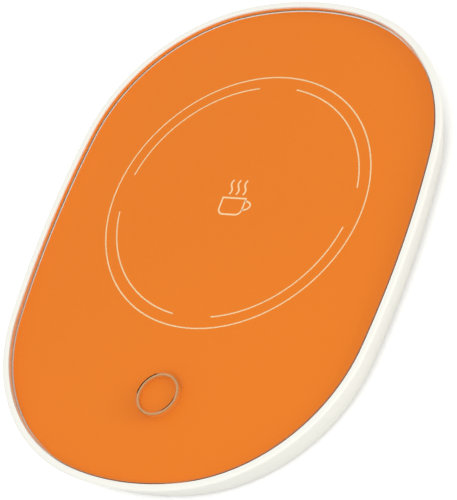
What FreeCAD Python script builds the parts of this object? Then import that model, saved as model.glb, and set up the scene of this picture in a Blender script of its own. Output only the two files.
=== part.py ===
import FreeCAD, Part
import math
import os
import re
import Sketcher
from FreeCAD import Vector

# Electric mug warmer, in millimetres. +Z is up and the origin is on the table, below the middle
# of the body. The length runs along Y, with the push button towards -Y and the inlet at +Y.

# Driving sizes: name, value, meaning
SIZES = [
    ("glass_width", 112.6, "glass panel across X"),
    ("glass_length", 149.0, "glass panel along Y"),
    ("side_radius", 300.0, "bow of the long sides"),
    ("corner_radius", 49.0, "corner arcs of the glass outline"),
    ("end_radius", 76.4, "bow of the two ends"),
    ("glass_thick", 3.0, "glass panel"),
    ("glass_arris", 0.25, "ground edge of the glass"),
    ("glass_gap", 0.3, "gap between glass and rim"),
    ("film_thick", 0.1, "printed film behind the glass"),
    ("film_margin", 0.6, "film kept back from the glass edge"),
    ("adhesive_thick", 0.4, "adhesive sheet under the film"),
    ("adhesive_margin", 0.8, "adhesive kept back from the glass edge"),
    ("rim_reach", 2.5, "rim outline outside the glass outline"),
    ("base_inset", 1.2, "bottom outline inside the glass outline"),
    ("rim_round", 0.6, "outer rounding of the rim"),
    ("rim_lip_round", 0.2, "inner rounding of the rim"),
    ("base_round", 0.9, "rounding of the bottom edge"),
    ("wall", 2.0, "side wall"),
    ("deck_thick", 1.2, "deck that carries the glass"),
    ("body_height", 10.2, "housing without the feet"),
    ("foot_drop", 1.4, "feet below the housing"),
    ("foot_diameter", 12.0, "rubber foot"),
    ("foot_recess", 0.5, "foot pocket in the cover"),
    ("foot_gap", 0.15, "gap round the foot in its pocket"),
    ("foot_bevel", 0.5, "bevel of the foot"),
    ("foot_side_margin", 18.5, "foot centre from the glass side"),
    ("foot_end_margin", 31.5, "foot centre from the glass end"),
    ("cover_thick", 1.3, "bottom cover plate"),
    ("cover_gap", 0.2, "gap round the bottom cover"),
    ("cover_lip", 0.7, "height of the locating lip"),
    ("cover_lip_notch", 12.0, "notch of the lip at the inlet"),
    ("cover_lip_wall", 1.0, "locating lip"),
    ("cover_lip_inset", 1.0, "lip from the cover edge"),
    ("cover_rib", 1.0, "width of the stiffening rings"),
    ("cover_rib_height", 0.7, "height of the stiffening rings"),
    ("cover_ring_small", 40.0, "inner stiffening ring"),
    ("cover_ring_large", 68.0, "outer stiffening ring"),
    ("cover_seat", 0.8, "height of the seats round the cover screws"),
    ("cover_seat_diameter", 7.0, "seats round the cover screws"),
    ("heater_setback", 62.5, "heater centre from the far end of the glass"),
    ("spreader_diameter", 80.0, "aluminium heat spreader"),
    ("spreader_thick", 1.0, "aluminium heat spreader"),
    ("heater_diameter", 76.0, "heater film"),
    ("heater_film_thick", 0.15, "each insulating film of the heater"),
    ("track_width", 1.6, "heater track"),
    ("track_thick", 0.15, "heater track"),
    ("track_pitch", 4.0, "step from one track ring to the next"),
    ("track_margin", 2.4, "outer track from the film edge"),
    ("track_split", 3.2, "half gap between the two halves of the track"),
    ("pad_thick", 1.6, "insulation pad"),
    ("tray_sheet", 0.5, "sheet of the heater tray"),
    ("tray_gap", 0.9, "tray wall outside the spreader"),
    ("tray_lip", 2.35, "height of the tray wall"),
    ("tray_bead_diameter", 52.0, "pressed bead of the tray"),
    ("tray_bead_width", 5.0, "pressed bead of the tray"),
    ("tray_bead_depth", 0.4, "pressed bead of the tray"),
    ("tray_hole", 8.0, "lead hole in the tray"),
    ("tray_ear_width", 7.0, "screw ears of the tray"),
    ("tray_ear_reach", 2.9, "ear beyond its screw"),
    ("tray_screw_step", 4.1, "tray screws outside the tray wall"),
    ("opening_gap", 0.6, "deck opening round the tray wall"),
    ("collar", 1.2, "rib round the deck opening"),
    ("rib_height", 1.0, "ribs under the deck"),
    ("rib_width", 1.0, "ribs under the deck"),
    ("rib_length", 5.0, "ribs under the deck"),
    ("rib_count", 12.0, "ribs round the heater opening"),
    ("lead_notch", 14.0, "notch for the heater leads"),
    ("button_setback", 25.6, "button centre from the near end of the glass"),
    ("button_diameter", 11.1, "push button"),
    ("button_gap", 0.08, "running gap of the push button"),
    ("button_arris", 0.2, "edge of the button cap"),
    ("ring_wall", 0.5, "visible wall of the light ring"),
    ("ring_gap", 0.1, "gap round the light ring"),
    ("ring_flange_diameter", 18.0, "flange of the light ring"),
    ("ring_flange_thick", 0.9, "flange of the light ring"),
    ("ring_recess", 0.5, "recess of the deck for the ring flange"),
    ("cap_thick", 1.5, "clear button cap"),
    ("button_film_thick", 0.1, "print under the button cap"),
    ("carrier_wall", 1.2, "side of the button carrier"),
    ("carrier_top", 2.0, "top of the button carrier"),
    ("carrier_flange_reach", 0.95, "retaining flange of the carrier"),
    ("carrier_flange_thick", 0.5, "retaining flange of the carrier"),
    ("rest_gap", 0.05, "flange below the light ring at rest"),
    ("stem_diameter", 2.6, "stem of the carrier"),
    ("switch_width", 5.1, "tact switch"),
    ("switch_height", 1.3, "tact switch"),
    ("switch_bore_depth", 1.15, "guide bore of the switch"),
    ("plunger_diameter", 2.0, "plunger of the switch"),
    ("plunger_gap", 0.06, "running gap of the plunger"),
    ("plunger_rise", 0.6, "plunger above the switch"),
    ("plunger_depth", 0.6, "plunger inside the switch"),
    ("board_drop", 1.7, "boards below the deck"),
    ("board_thick", 1.0, "circuit boards"),
    ("board_half_width", 30.0, "main board, half its width"),
    ("board_top_edge", 17.0, "main board from the button centre to its inner edge"),
    ("board_end_gap", 14.0, "main board from the glass end"),
    ("board_screw_x", 25.5, "inner board screws"),
    ("board_screw_y", 12.0, "inner board screws from the button centre"),
    ("board_screw_low_x", 22.0, "outer board screws"),
    ("board_screw_low_y", 4.0, "outer board screws from the button centre"),
    ("board_hole", 2.3, "screw holes of the boards and the tray"),
    ("inlet_board_width", 26.0, "inlet board"),
    ("inlet_board_length", 12.0, "inlet board"),
    ("inlet_board_setback", 3.4, "inlet board from the glass end"),
    ("inlet_board_gap", 0.1, "board round the inlet shell"),
    ("inlet_screw_x", 10.5, "inlet board screws"),
    ("inlet_screw_setback", 8.5, "inlet board screws from the glass end"),
    ("inlet_width", 8.94, "inlet shell"),
    ("inlet_height", 3.16, "inlet shell"),
    ("inlet_depth", 7.35, "inlet shell"),
    ("inlet_sheet", 0.3, "inlet shell sheet"),
    ("inlet_corner", 1.3, "corner rounding of the inlet shell"),
    ("inlet_slot_gap", 0.2, "slot round the inlet shell"),
    ("inlet_setback", 0.6, "inlet mouth from the glass end"),
    ("plug_recess_width", 12.2, "recess for the plug"),
    ("plug_recess_height", 5.4, "recess for the plug"),
    ("plug_recess_corner", 2.1, "corner rounding of the plug recess"),
    ("tongue_width", 6.7, "inlet tongue"),
    ("tongue_thick", 0.7, "inlet tongue"),
    ("tongue_length", 4.45, "inlet tongue"),
    ("tongue_base", 1.6, "block behind the tongue"),
    ("screw_diameter", 2.0, "self-tapping screws"),
    ("screw_head", 3.8, "screw heads"),
    ("screw_head_thick", 1.1, "screw heads"),
    ("screw_gap", 0.05, "pilot hole round the screw"),
    ("screw_drive", 1.6, "cross recess of the screws"),
    ("screw_drive_depth", 0.6, "cross recess of the screws"),
    ("screw_bite", 1.5, "board and tray screws in their bosses"),
    ("cover_screw_bite", 3.2, "cover screws in their bosses"),
    ("cover_screw_x", 23.0, "cover screws"),
    ("cover_screw_end_margin", 11.5, "cover screws from the glass end"),
    ("boss_diameter", 4.8, "screw bosses"),
    ("cover_boss_diameter", 6.4, "bosses of the cover screws"),
    ("head_gap", 0.25, "counterbore round a screw head"),
    ("lead_diameter", 1.2, "insulated leads"),
    ("supply_ring_radius", 49.6, "inner supply lead round the heater"),
    ("supply_pitch", 1.5, "supply leads side by side"),
    ("supply_begin", 96.0, "angle at which the supply leads leave the inlet board"),
    ("supply_end", 248.0, "angle at which the supply leads meet the main board"),
    ("sensor_lead_diameter", 0.5, "thermistor leads"),
    ("sensor_diameter", 1.4, "thermistor bead"),
    ("sensor_length", 4.0, "thermistor bead"),
    ("cutoff_width", 2.8, "thermal cut-off"),
    ("cutoff_length", 10.0, "thermal cut-off"),
    ("cutoff_thick", 1.2, "thermal cut-off"),
    ("led_length", 1.6, "status lamps"),
    ("led_width", 0.8, "status lamps"),
    ("led_height", 0.6, "status lamps"),
    ("led_circle", 14.6, "circle of the status lamps"),
    ("chip_width", 4.0, "control chip"),
    ("chip_length", 5.0, "control chip"),
    ("chip_height", 1.3, "control chip"),
    ("chip_side", 14.0, "control chip from the button centre"),
    ("chip_lift", 6.0, "control chip from the button centre"),
    ("transistor_width", 5.0, "power transistor"),
    ("transistor_length", 6.0, "power transistor"),
    ("transistor_height", 1.1, "power transistor"),
    ("transistor_side", 15.0, "power transistor from the button centre"),
    ("transistor_lift", 6.5, "power transistor from the button centre"),
    ("capacitor_width", 3.2, "capacitors"),
    ("capacitor_length", 1.6, "capacitors"),
    ("capacitor_height", 1.2, "capacitors"),
    ("capacitor_side", 14.0, "capacitors from the button centre"),
    ("capacitor_drop", 1.0, "first capacitor below the button centre"),
    ("capacitor_step", 2.6, "step between the capacitors"),
    ("edge_capacitor_side", 5.0, "capacitor near the inner edge of the board"),
    ("edge_capacitor_lift", 13.0, "capacitor near the inner edge of the board"),
    ("resistor_width", 1.6, "resistors"),
    ("resistor_length", 0.8, "resistors"),
    ("resistor_height", 0.45, "resistors"),
    ("resistor_side", 13.0, "first resistor from the button centre"),
    ("resistor_drop", 1.0, "first resistor below the button centre"),
    ("resistor_step", 2.6, "step between the resistors of a row"),
    ("resistor_row", 1.6, "step between the rows of resistors"),
    ("inlet_resistor_side", 2.0, "first resistor of the inlet board"),
    ("inlet_resistor_step", 3.0, "step between the resistors of the inlet board"),
]

doc = FreeCAD.newDocument("mug_warmer")
sheet = doc.addObject("Spreadsheet::Sheet", "sizes")
for row, (alias, size, meaning) in enumerate(SIZES, start=1):
    sheet.set(f"A{row}", meaning)
    sheet.set(f"B{row}", str(size))
    sheet.setAlias(f"B{row}", alias)
doc.recompute()

ALIASES = {alias for alias, size, meaning in SIZES}


def bound(formula):
    """The formula with every size name pointing at the sheet."""
    return re.sub(r"[a-z_]+", lambda m: "sizes." + m[0] if m[0] in ALIASES else m[0], formula)


def number(formula):
    """The value of a formula in size names."""
    return float(sheet.evalExpression(str(formula)))


def bind(thing, prop, formula):
    thing.setExpression(prop, bound(str(formula)))


# Heights and places that several pieces share, worked out from the sizes
BASE = "foot_drop"
RIM = f"({BASE} + body_height)"
GLASS_BACK = f"({RIM} - glass_thick)"
FILM_BACK = f"({GLASS_BACK} - film_thick)"
DECK_TOP = f"({FILM_BACK} - adhesive_thick)"
DECK_BACK = f"({DECK_TOP} - deck_thick)"
COVER_TOP = f"({BASE} + cover_thick)"
COVER_SEAT = f"({COVER_TOP} + cover_seat)"
BOARD_TOP = f"({DECK_BACK} - board_drop)"
BOARD_BACK = f"({BOARD_TOP} - board_thick)"
BOARD_MIDDLE = f"({BOARD_TOP} - board_thick / 2)"
SPREADER_BACK = f"({FILM_BACK} - spreader_thick)"
TRACK_TOP = f"({SPREADER_BACK} - heater_film_thick)"
TRACK_BACK = f"({TRACK_TOP} - track_thick)"
HEATER_BACK = f"({TRACK_BACK} - heater_film_thick)"
PAD_BACK = f"({HEATER_BACK} - pad_thick)"
TRAY_BACK = f"({PAD_BACK} - tray_sheet)"
RING_SEAT = f"({DECK_BACK} + ring_recess)"
RING_BACK = f"({RING_SEAT} - ring_flange_thick)"
FLANGE_TOP = f"({RING_BACK} - rest_gap)"
SWITCH_TOP = f"({BOARD_TOP} + switch_height)"
PLUNGER_TOP = f"({SWITCH_TOP} + plunger_rise)"
CAP_BACK = f"({RIM} - cap_thick)"
CARRIER_TOP = f"({CAP_BACK} - button_film_thick)"

DRAFT = "atan((rim_reach + base_inset) / body_height)"
HEATER_Y = "(glass_length / 2 - heater_setback)"
BUTTON_Y = "(button_setback - glass_length / 2)"
FOOT_X = "(glass_width / 2 - foot_side_margin)"
FOOT_Y = "(glass_length / 2 - foot_end_margin)"
COVER_SCREW_Y = "(glass_length / 2 - cover_screw_end_margin)"
INLET_MOUTH = "(glass_length / 2 - inlet_setback)"
INLET_SCREW_Y = "(glass_length / 2 - inlet_screw_setback)"
TRAY_DIAMETER = "(spreader_diameter + 2 * tray_gap + 2 * tray_sheet)"
TRAY_SCREW_RADIUS = f"({TRAY_DIAMETER} / 2 + tray_screw_step)"
OPENING_DIAMETER = f"({TRAY_DIAMETER} + 2 * opening_gap)"
RING_DIAMETER = "(button_diameter + 2 * button_gap + 2 * ring_wall)"
RING_HOLE = f"({RING_DIAMETER} + 2 * ring_gap)"
DECK_BUTTON_HOLE = f"({RING_DIAMETER} + 4 * ring_gap)"
PILOT = "(screw_diameter + 2 * screw_gap)"
LEAD_Z = f"({PAD_BACK} + lead_diameter / 2)"
SENSOR_Z = f"({HEATER_BACK} - sensor_diameter / 2)"

DIAGONAL = 45.0
COVER_SCREWS = [
    (x, y)
    for x in ("cover_screw_x", "-cover_screw_x")
    for y in (COVER_SCREW_Y, "-" + COVER_SCREW_Y)
]
BOARD_SCREWS = [
    (side + x, f"({BUTTON_Y} {y})")
    for side in ("", "-")
    for x, y in (("board_screw_x", "+ board_screw_y"), ("board_screw_low_x", "- board_screw_low_y"))
]
INLET_SCREWS = [("inlet_screw_x", INLET_SCREW_Y), ("-inlet_screw_x", INLET_SCREW_Y)]
TRAY_SCREWS = [
    (f"{TRAY_SCREW_RADIUS} * cos({angle})", f"{HEATER_Y} + {TRAY_SCREW_RADIUS} * sin({angle})")
    for angle in (DIAGONAL, DIAGONAL + 90, DIAGONAL + 180, DIAGONAL + 270)
]
FEET = {
    "foot_front_left": ("-" + FOOT_X, "-" + FOOT_Y),
    "foot_front_right": (FOOT_X, "-" + FOOT_Y),
    "foot_back_left": ("-" + FOOT_X, FOOT_Y),
    "foot_back_right": (FOOT_X, FOOT_Y),
}

nodes = []


# Bodies, sketches and features
def new_body(label, x="0", y="0", turn=0.0):
    """A body placed at x, y in the frame of the object and turned about +Z."""
    body = doc.addObject("PartDesign::Body", label)
    body.Label = label
    body.AllowCompound = True
    body.Placement = FreeCAD.Placement(Vector(0, 0, 0), FreeCAD.Rotation(Vector(0, 0, 1), turn))
    bind(body, "Placement.Base.x", x)
    bind(body, "Placement.Base.y", y)
    nodes.append(body)
    return body


def new_sketch(body, name, height="0", plane="XY_Plane"):
    """An empty sketch on one of the body's own planes, lifted off it by a height."""
    sketch = body.newObject("Sketcher::SketchObject", f"{body.Label}_{name}")
    support = next(o for o in body.Origin.OriginFeatures if o.Role == plane)
    sketch.AttachmentSupport = [(support, "")]
    sketch.MapMode = "FlatFace"
    bind(sketch, "AttachmentOffset.Base.z", height)
    return sketch


def constrain(sketch, formula, kind, *places):
    """One constraint whose value follows a formula, or an axis where the formula is 0."""
    index = sketch.addConstraint(Sketcher.Constraint(kind, *places, number(formula)))
    sketch.renameConstraint(index, f"{kind}_{index}")
    bind(sketch, f"Constraints.{kind}_{index}", formula)


def place_point(sketch, item, point, x, y):
    for formula, kind, axis in ((x, "DistanceX", -2), (y, "DistanceY", -1)):
        if str(formula) == "0":
            sketch.addConstraint(Sketcher.Constraint("PointOnObject", item, point, axis))
        else:
            constrain(sketch, formula, kind, -1, 1, item, point)


def add_circles(sketch, diameter, places):
    for x, y in places:
        centre = Vector(number(x), number(y), 0)
        item = sketch.addGeometry(Part.Circle(centre, Vector(0, 0, 1), number(diameter) / 2))
        constrain(sketch, diameter, "Diameter", item)
        place_point(sketch, item, 3, x, y)


def add_polygon(sketch, corners):
    """A closed outline of straight lines, each corner a pair of formulas."""
    points = [Vector(number(x), number(y), 0) for x, y in corners]
    first = sketch.GeometryCount
    for i, start in enumerate(points):
        sketch.addGeometry(Part.LineSegment(start, points[(i + 1) % len(points)]))
    for i, (x, y) in enumerate(corners):
        before = first + (i - 1) % len(points)
        sketch.addConstraint(Sketcher.Constraint("Coincident", before, 2, first + i, 1))
        place_point(sketch, first + i, 1, x, y)


def add_rectangle(sketch, x, y, width, length):
    width, length = f"({width})", f"({length})"
    left, right = f"({x} - {width} / 2)", f"({x} + {width} / 2)"
    low, high = f"({y} - {length} / 2)", f"({y} + {length} / 2)"
    add_polygon(sketch, [(left, low), (right, low), (right, high), (left, high)])


def add_rounded_rectangle(sketch, x, y, width, length, radius):
    """Four sides joined by four equal tangent arcs."""
    width, length = f"({width})", f"({length})"
    cx, cy, w, l, r = (number(v) for v in (x, y, width, length, radius))
    quarter = math.pi / 2
    first = sketch.GeometryCount
    for i, (sx, sy) in enumerate(((1, 1), (-1, 1), (-1, -1), (1, -1))):
        centre = Vector(cx + sx * (w / 2 - r), cy + sy * (l / 2 - r), 0)
        circle = Part.Circle(centre, Vector(0, 0, 1), r)
        sketch.addGeometry(Part.ArcOfCircle(circle, i * quarter, (i + 1) * quarter))
    for i in range(4):
        start = sketch.Geometry[first + i].EndPoint
        end = sketch.Geometry[first + (i + 1) % 4].StartPoint
        sketch.addGeometry(Part.LineSegment(start, end))
    for i in range(4):
        side = first + 4 + i
        sketch.addConstraint(Sketcher.Constraint("Tangent", first + i, 2, side, 1))
        sketch.addConstraint(Sketcher.Constraint("Tangent", side, 2, first + (i + 1) % 4, 1))
        direction = "Vertical" if i % 2 else "Horizontal"
        sketch.addConstraint(Sketcher.Constraint(direction, side))
        if i:
            sketch.addConstraint(Sketcher.Constraint("Equal", first, first + i))
    constrain(sketch, radius, "Radius", first)
    constrain(sketch, f"{x} + {width} / 2 - {radius}", "DistanceX", -1, 1, first, 3)
    constrain(sketch, f"{y} + {length} / 2 - {radius}", "DistanceY", -1, 1, first, 3)
    constrain(sketch, f"{width} - 2 * {radius}", "DistanceX", first + 1, 3, first, 3)
    constrain(sketch, f"{length} - 2 * {radius}", "DistanceY", first + 3, 3, first, 3)


def add_outline(sketch, offset):
    """The body outline: two side arcs, two end arcs and four corner arcs, all tangent.

    Every outline of the object has the same arc centres, so an offset only changes the radii.
    """
    shift = number(offset)
    side, corner, end = (number(n) for n in ("side_radius", "corner_radius", "end_radius"))
    side_x = number("glass_width") / 2 - side
    end_y = number("glass_length") / 2 - end
    reach_side, reach_end = side - corner, end - corner
    apart = math.hypot(side_x, end_y)
    along = (apart**2 + reach_side**2 - reach_end**2) / (2 * apart)
    across = math.sqrt(reach_side**2 - along**2)
    ux, uy = -side_x / apart, end_y / apart
    corner_x = side_x + along * ux - across * uy
    corner_y = along * uy + across * ux
    side_turn = math.atan2(corner_y, corner_x - side_x)
    end_turn = math.atan2(corner_y - end_y, corner_x)
    half, full = math.pi, 2 * math.pi
    arcs = [
        ((side_x, 0), side, -side_turn, side_turn),
        ((corner_x, corner_y), corner, side_turn, end_turn),
        ((0, end_y), end, end_turn, half - end_turn),
        ((-corner_x, corner_y), corner, half - end_turn, half - side_turn),
        ((-side_x, 0), side, half - side_turn, half + side_turn),
        ((-corner_x, -corner_y), corner, half + side_turn, half + end_turn),
        ((0, -end_y), end, half + end_turn, full - end_turn),
        ((corner_x, -corner_y), corner, full - end_turn, full - side_turn),
    ]
    first = sketch.GeometryCount
    for (x, y), radius, begin, finish in arcs:
        circle = Part.Circle(Vector(x, y, 0), Vector(0, 0, 1), radius + shift)
        sketch.addGeometry(Part.ArcOfCircle(circle, begin, finish))
    for i in range(8):
        sketch.addConstraint(Sketcher.Constraint("Tangent", first + i, 2, first + (i + 1) % 8, 1))
    for i, twin in ((1, 3), (1, 5), (1, 7), (0, 4), (2, 6)):
        sketch.addConstraint(Sketcher.Constraint("Equal", first + i, first + twin))
    constrain(sketch, f"side_radius + {offset}", "Radius", first)
    constrain(sketch, f"corner_radius + {offset}", "Radius", first + 1)
    constrain(sketch, f"end_radius + {offset}", "Radius", first + 2)
    place_point(sketch, first, 3, "(glass_width / 2 - side_radius)", "0")
    place_point(sketch, first + 4, 3, "(side_radius - glass_width / 2)", "0")
    place_point(sketch, first + 2, 3, "0", "(glass_length / 2 - end_radius)")
    place_point(sketch, first + 6, 3, "0", "(end_radius - glass_length / 2)")


def add_feature(kind, body, sketch, length=None, downward=False):
    """A pad or pocket of a sketch, straight up or down."""
    feature = body.newObject(f"PartDesign::{kind}", sketch.Name + "_" + kind.lower())
    feature.Profile = sketch
    if length is not None:
        bind(feature, "Length", length)
    feature.Reversed = downward if kind == "Pad" else not downward
    sketch.Visibility = False
    return feature


def pad(body, sketch, length, downward=False):
    return add_feature("Pad", body, sketch, length, downward)


def cut(body, sketch, length, downward=False):
    """A pocket, compared by volume so that it can't miss the solid."""
    doc.recompute()
    before = body.Shape.Volume
    feature = add_feature("Pocket", body, sketch, length, downward)
    doc.recompute()
    if not body.Shape.Volume < before - 1e-6:
        raise ValueError(f"{feature.Name} cuts nothing")
    return feature


def revolve(body, sketch):
    """A full turn of a sketch about its own upright axis."""
    feature = body.newObject("PartDesign::Revolution", sketch.Name + "_revolution")
    feature.Profile = sketch
    feature.ReferenceAxis = (sketch, ["V_Axis"])
    feature.Angle = 360
    return feature


def edges_where(feature, test):
    doc.recompute()
    return [f"Edge{i}" for i, edge in enumerate(feature.Shape.Edges, start=1) if test(edge)]


def dress(body, kind, prop, size, base, names):
    """A fillet or chamfer on the named edges of the last feature."""
    if not names:
        raise ValueError(f"no edge of {base.Name} to finish")
    feature = body.newObject(f"PartDesign::{kind}", f"{base.Name}_{kind.lower()}")
    feature.Base = (base, names)
    bind(feature, prop, size)
    doc.recompute()
    return feature


def at_height(edge, height):
    box = edge.BoundBox
    return abs(box.ZMin - height) < 1e-4 and abs(box.ZMax - height) < 1e-4


def plain_disc(label, diameter, bottom, thick, x="0", y="0"):
    body = new_body(label, x, y)
    sketch = new_sketch(body, "disc", bottom)
    add_circles(sketch, diameter, [("0", "0")])
    pad(body, sketch, thick)
    return body


def plain_plate(label, offset, bottom, thick):
    body = new_body(label)
    sketch = new_sketch(body, "outline", bottom)
    add_outline(sketch, offset)
    return body, pad(body, sketch, thick)


def made_shape(label, shape):
    """A piece whose form runs through space, set straight from its curves."""
    feature = doc.addObject("Part::Feature", label)
    feature.Label = label
    feature.Shape = shape
    nodes.append(feature)
    return feature


# Housing: one moulding with the rim, the drafted wall, the deck under the glass and its bosses
def make_housing():
    body = new_body("housing")
    base = new_sketch(body, "base_outline", BASE)
    add_outline(base, "(0 - base_inset)")
    shell = pad(body, base, "body_height")
    bind(shell, "TaperAngle", DRAFT)
    rim_edges = edges_where(shell, lambda e: at_height(e, number(RIM)))
    rounded = dress(body, "Fillet", "Radius", "rim_round", shell, rim_edges)
    base_edges = edges_where(rounded, lambda e: at_height(e, number(BASE)))
    dress(body, "Fillet", "Radius", "base_round", rounded, base_edges)

    recess = new_sketch(body, "glass_recess", RIM)
    add_outline(recess, "glass_gap")
    recess_cut = cut(body, recess, f"{RIM} - {DECK_TOP}", downward=True)
    dress(body, "Fillet", "Radius", "rim_lip_round", recess_cut, inner_rim_edges(recess_cut))

    cavity = new_sketch(body, "cavity", BASE)
    add_outline(cavity, "(0 - base_inset - wall)")
    hollow = cut(body, cavity, f"{DECK_BACK} - {BASE}")
    bind(hollow, "TaperAngle", DRAFT)

    opening = new_sketch(body, "heater_opening", DECK_TOP)
    add_circles(opening, OPENING_DIAMETER, [("0", HEATER_Y)])
    cut(body, opening, "deck_thick", downward=True)
    collar = new_sketch(body, "collar", DECK_BACK)
    add_circles(collar, f"{OPENING_DIAMETER} + 2 * collar", [("0", HEATER_Y)])
    add_circles(collar, OPENING_DIAMETER, [("0", HEATER_Y)])
    pad(body, collar, "rib_height", downward=True)
    for i in range(int(number("rib_count"))):
        angle = 360.0 * (i + 0.5) / number("rib_count")
        add_rib(body, i, angle)
    notch = new_sketch(body, "lead_notch", DECK_BACK)
    notch_y = f"({HEATER_Y} - {OPENING_DIAMETER} / 2)"
    add_rectangle(notch, "0", notch_y, "lead_notch", "4 * collar")
    cut(body, notch, "rib_height", downward=True)

    for name, places, diameter, foot in (
        ("cover_boss", COVER_SCREWS, "cover_boss_diameter", COVER_SEAT),
        ("board_boss", BOARD_SCREWS, "boss_diameter", BOARD_TOP),
        ("inlet_boss", INLET_SCREWS, "boss_diameter", BOARD_TOP),
        ("tray_boss", TRAY_SCREWS, "boss_diameter", PAD_BACK),
    ):
        boss = new_sketch(body, name, DECK_BACK)
        add_circles(boss, diameter, places)
        pad(body, boss, f"{DECK_BACK} - {foot}", downward=True)
        bite = "cover_screw_bite" if name == "cover_boss" else "screw_bite"
        pilot = new_sketch(body, name + "_pilot", foot)
        add_circles(pilot, PILOT, places)
        cut(body, pilot, f"{bite} + 4 * screw_gap")

    button = new_sketch(body, "button_hole", DECK_TOP)
    add_circles(button, DECK_BUTTON_HOLE, [("0", BUTTON_Y)])
    cut(body, button, "deck_thick", downward=True)
    seat = new_sketch(body, "ring_recess", DECK_BACK)
    add_circles(seat, "ring_flange_diameter + 2 * ring_gap", [("0", BUTTON_Y)])
    cut(body, seat, "ring_recess")

    end = "(glass_length / 2 + rim_reach)"
    plug = new_sketch(body, "plug_recess", "0 - " + end, "XZ_Plane")
    add_rounded_rectangle(plug, "0", BOARD_MIDDLE, "plug_recess_width", "plug_recess_height",
                          "plug_recess_corner")
    cut(body, plug, f"{end} - {INLET_MOUTH}")
    slot = new_sketch(body, "inlet_slot", "0 - " + end, "XZ_Plane")
    add_rounded_rectangle(slot, "0", BOARD_MIDDLE, "inlet_width + 2 * inlet_slot_gap",
                          "inlet_height + 2 * inlet_slot_gap", "(inlet_corner + inlet_slot_gap)")
    cut(body, slot, f"{end} - {INLET_MOUTH} + 2 * wall")
    return body


def add_rib(body, index, angle):
    """One short rib from the collar outwards, under the deck."""
    begin = f"({OPENING_DIAMETER} / 2 + collar / 2)"
    finish = f"({begin} + rib_length)"
    corners = []
    for reach, side, back in ((begin, "-", "+"), (finish, "-", "+"), (finish, "+", "-"), (begin, "+", "-")):
        x = f"({reach} * cos({angle}) {side} rib_width / 2 * sin({angle}))"
        y = f"({HEATER_Y} + {reach} * sin({angle}) {back} rib_width / 2 * cos({angle}))"
        corners.append((x, y))
    rib = new_sketch(body, f"rib_{index}", DECK_BACK)
    add_polygon(rib, corners)
    pad(body, rib, "rib_height", downward=True)


def inner_rim_edges(feature):
    """The edges round the glass recess: the shorter outline of the flat rim face."""
    doc.recompute()
    height = number(RIM)
    rim = [f for f in feature.Shape.Faces if abs(f.BoundBox.ZMin - height) < 1e-4 and len(f.Wires) == 2]
    inner = min(rim[0].Wires, key=lambda wire: wire.Length)
    return edges_where(feature, lambda edge: any(edge.isSame(other) for other in inner.Edges))


def make_bottom_cover():
    offset = "(0 - base_inset - wall - cover_gap)"
    body, plate = plain_plate("bottom_cover", offset, BASE, "cover_thick")
    lip = new_sketch(body, "lip", COVER_TOP)
    add_outline(lip, f"({offset} - cover_lip_inset)")
    add_outline(lip, f"({offset} - cover_lip_inset - cover_lip_wall)")
    pad(body, lip, "cover_lip")
    notch = new_sketch(body, "lip_notch", COVER_TOP)
    add_rectangle(notch, "0", f"({INLET_MOUTH} - inlet_depth / 2)", "cover_lip_notch", "inlet_depth")
    cut(body, notch, "cover_lip")
    rings = new_sketch(body, "rings", COVER_TOP)
    for diameter in ("cover_ring_small", "cover_ring_large"):
        add_circles(rings, diameter, [("0", HEATER_Y)])
        add_circles(rings, f"{diameter} + 2 * cover_rib", [("0", HEATER_Y)])
    pad(body, rings, "cover_rib_height")
    seats = new_sketch(body, "screw_seats", COVER_TOP)
    add_circles(seats, "cover_seat_diameter", COVER_SCREWS)
    pad(body, seats, "cover_seat")
    holes = new_sketch(body, "screw_holes", BASE)
    add_circles(holes, "board_hole", COVER_SCREWS)
    cut(body, holes, "cover_thick + cover_seat")
    heads = new_sketch(body, "screw_heads", BASE)
    add_circles(heads, "screw_head + 2 * head_gap", COVER_SCREWS)
    cut(body, heads, "screw_head_thick + head_gap")
    pockets = new_sketch(body, "foot_pockets", BASE)
    add_circles(pockets, "foot_diameter + 2 * foot_gap", list(FEET.values()))
    cut(body, pockets, "foot_recess")


def make_foot(label, x, y):
    body = new_body(label, x, y)
    disc = new_sketch(body, "disc", "0")
    add_circles(disc, "foot_diameter", [("0", "0")])
    rubber = pad(body, disc, "foot_drop + foot_recess")
    low = edges_where(rubber, lambda e: at_height(e, 0))
    dress(body, "Chamfer", "Size", "foot_bevel", rubber, low)


def make_glass():
    body, plate = plain_plate("glass_panel", "0", GLASS_BACK, "glass_thick")
    hole = new_sketch(body, "button_hole", GLASS_BACK)
    add_circles(hole, RING_HOLE, [("0", BUTTON_Y)])
    drilled = cut(body, hole, "glass_thick")
    top = edges_where(drilled, lambda e: at_height(e, number(RIM)))
    dress(body, "Chamfer", "Size", "glass_arris", drilled, top)

    body, plate = plain_plate("print_film", "(0 - film_margin)", FILM_BACK, "film_thick")
    hole = new_sketch(body, "button_hole", FILM_BACK)
    add_circles(hole, RING_HOLE, [("0", BUTTON_Y)])
    cut(body, hole, "film_thick")

    body, plate = plain_plate("panel_adhesive", "(0 - adhesive_margin)", DECK_TOP, "adhesive_thick")
    openings = new_sketch(body, "openings", DECK_TOP)
    add_circles(openings, OPENING_DIAMETER, [("0", HEATER_Y)])
    add_circles(openings, DECK_BUTTON_HOLE, [("0", BUTTON_Y)])
    cut(body, openings, "adhesive_thick")


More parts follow.
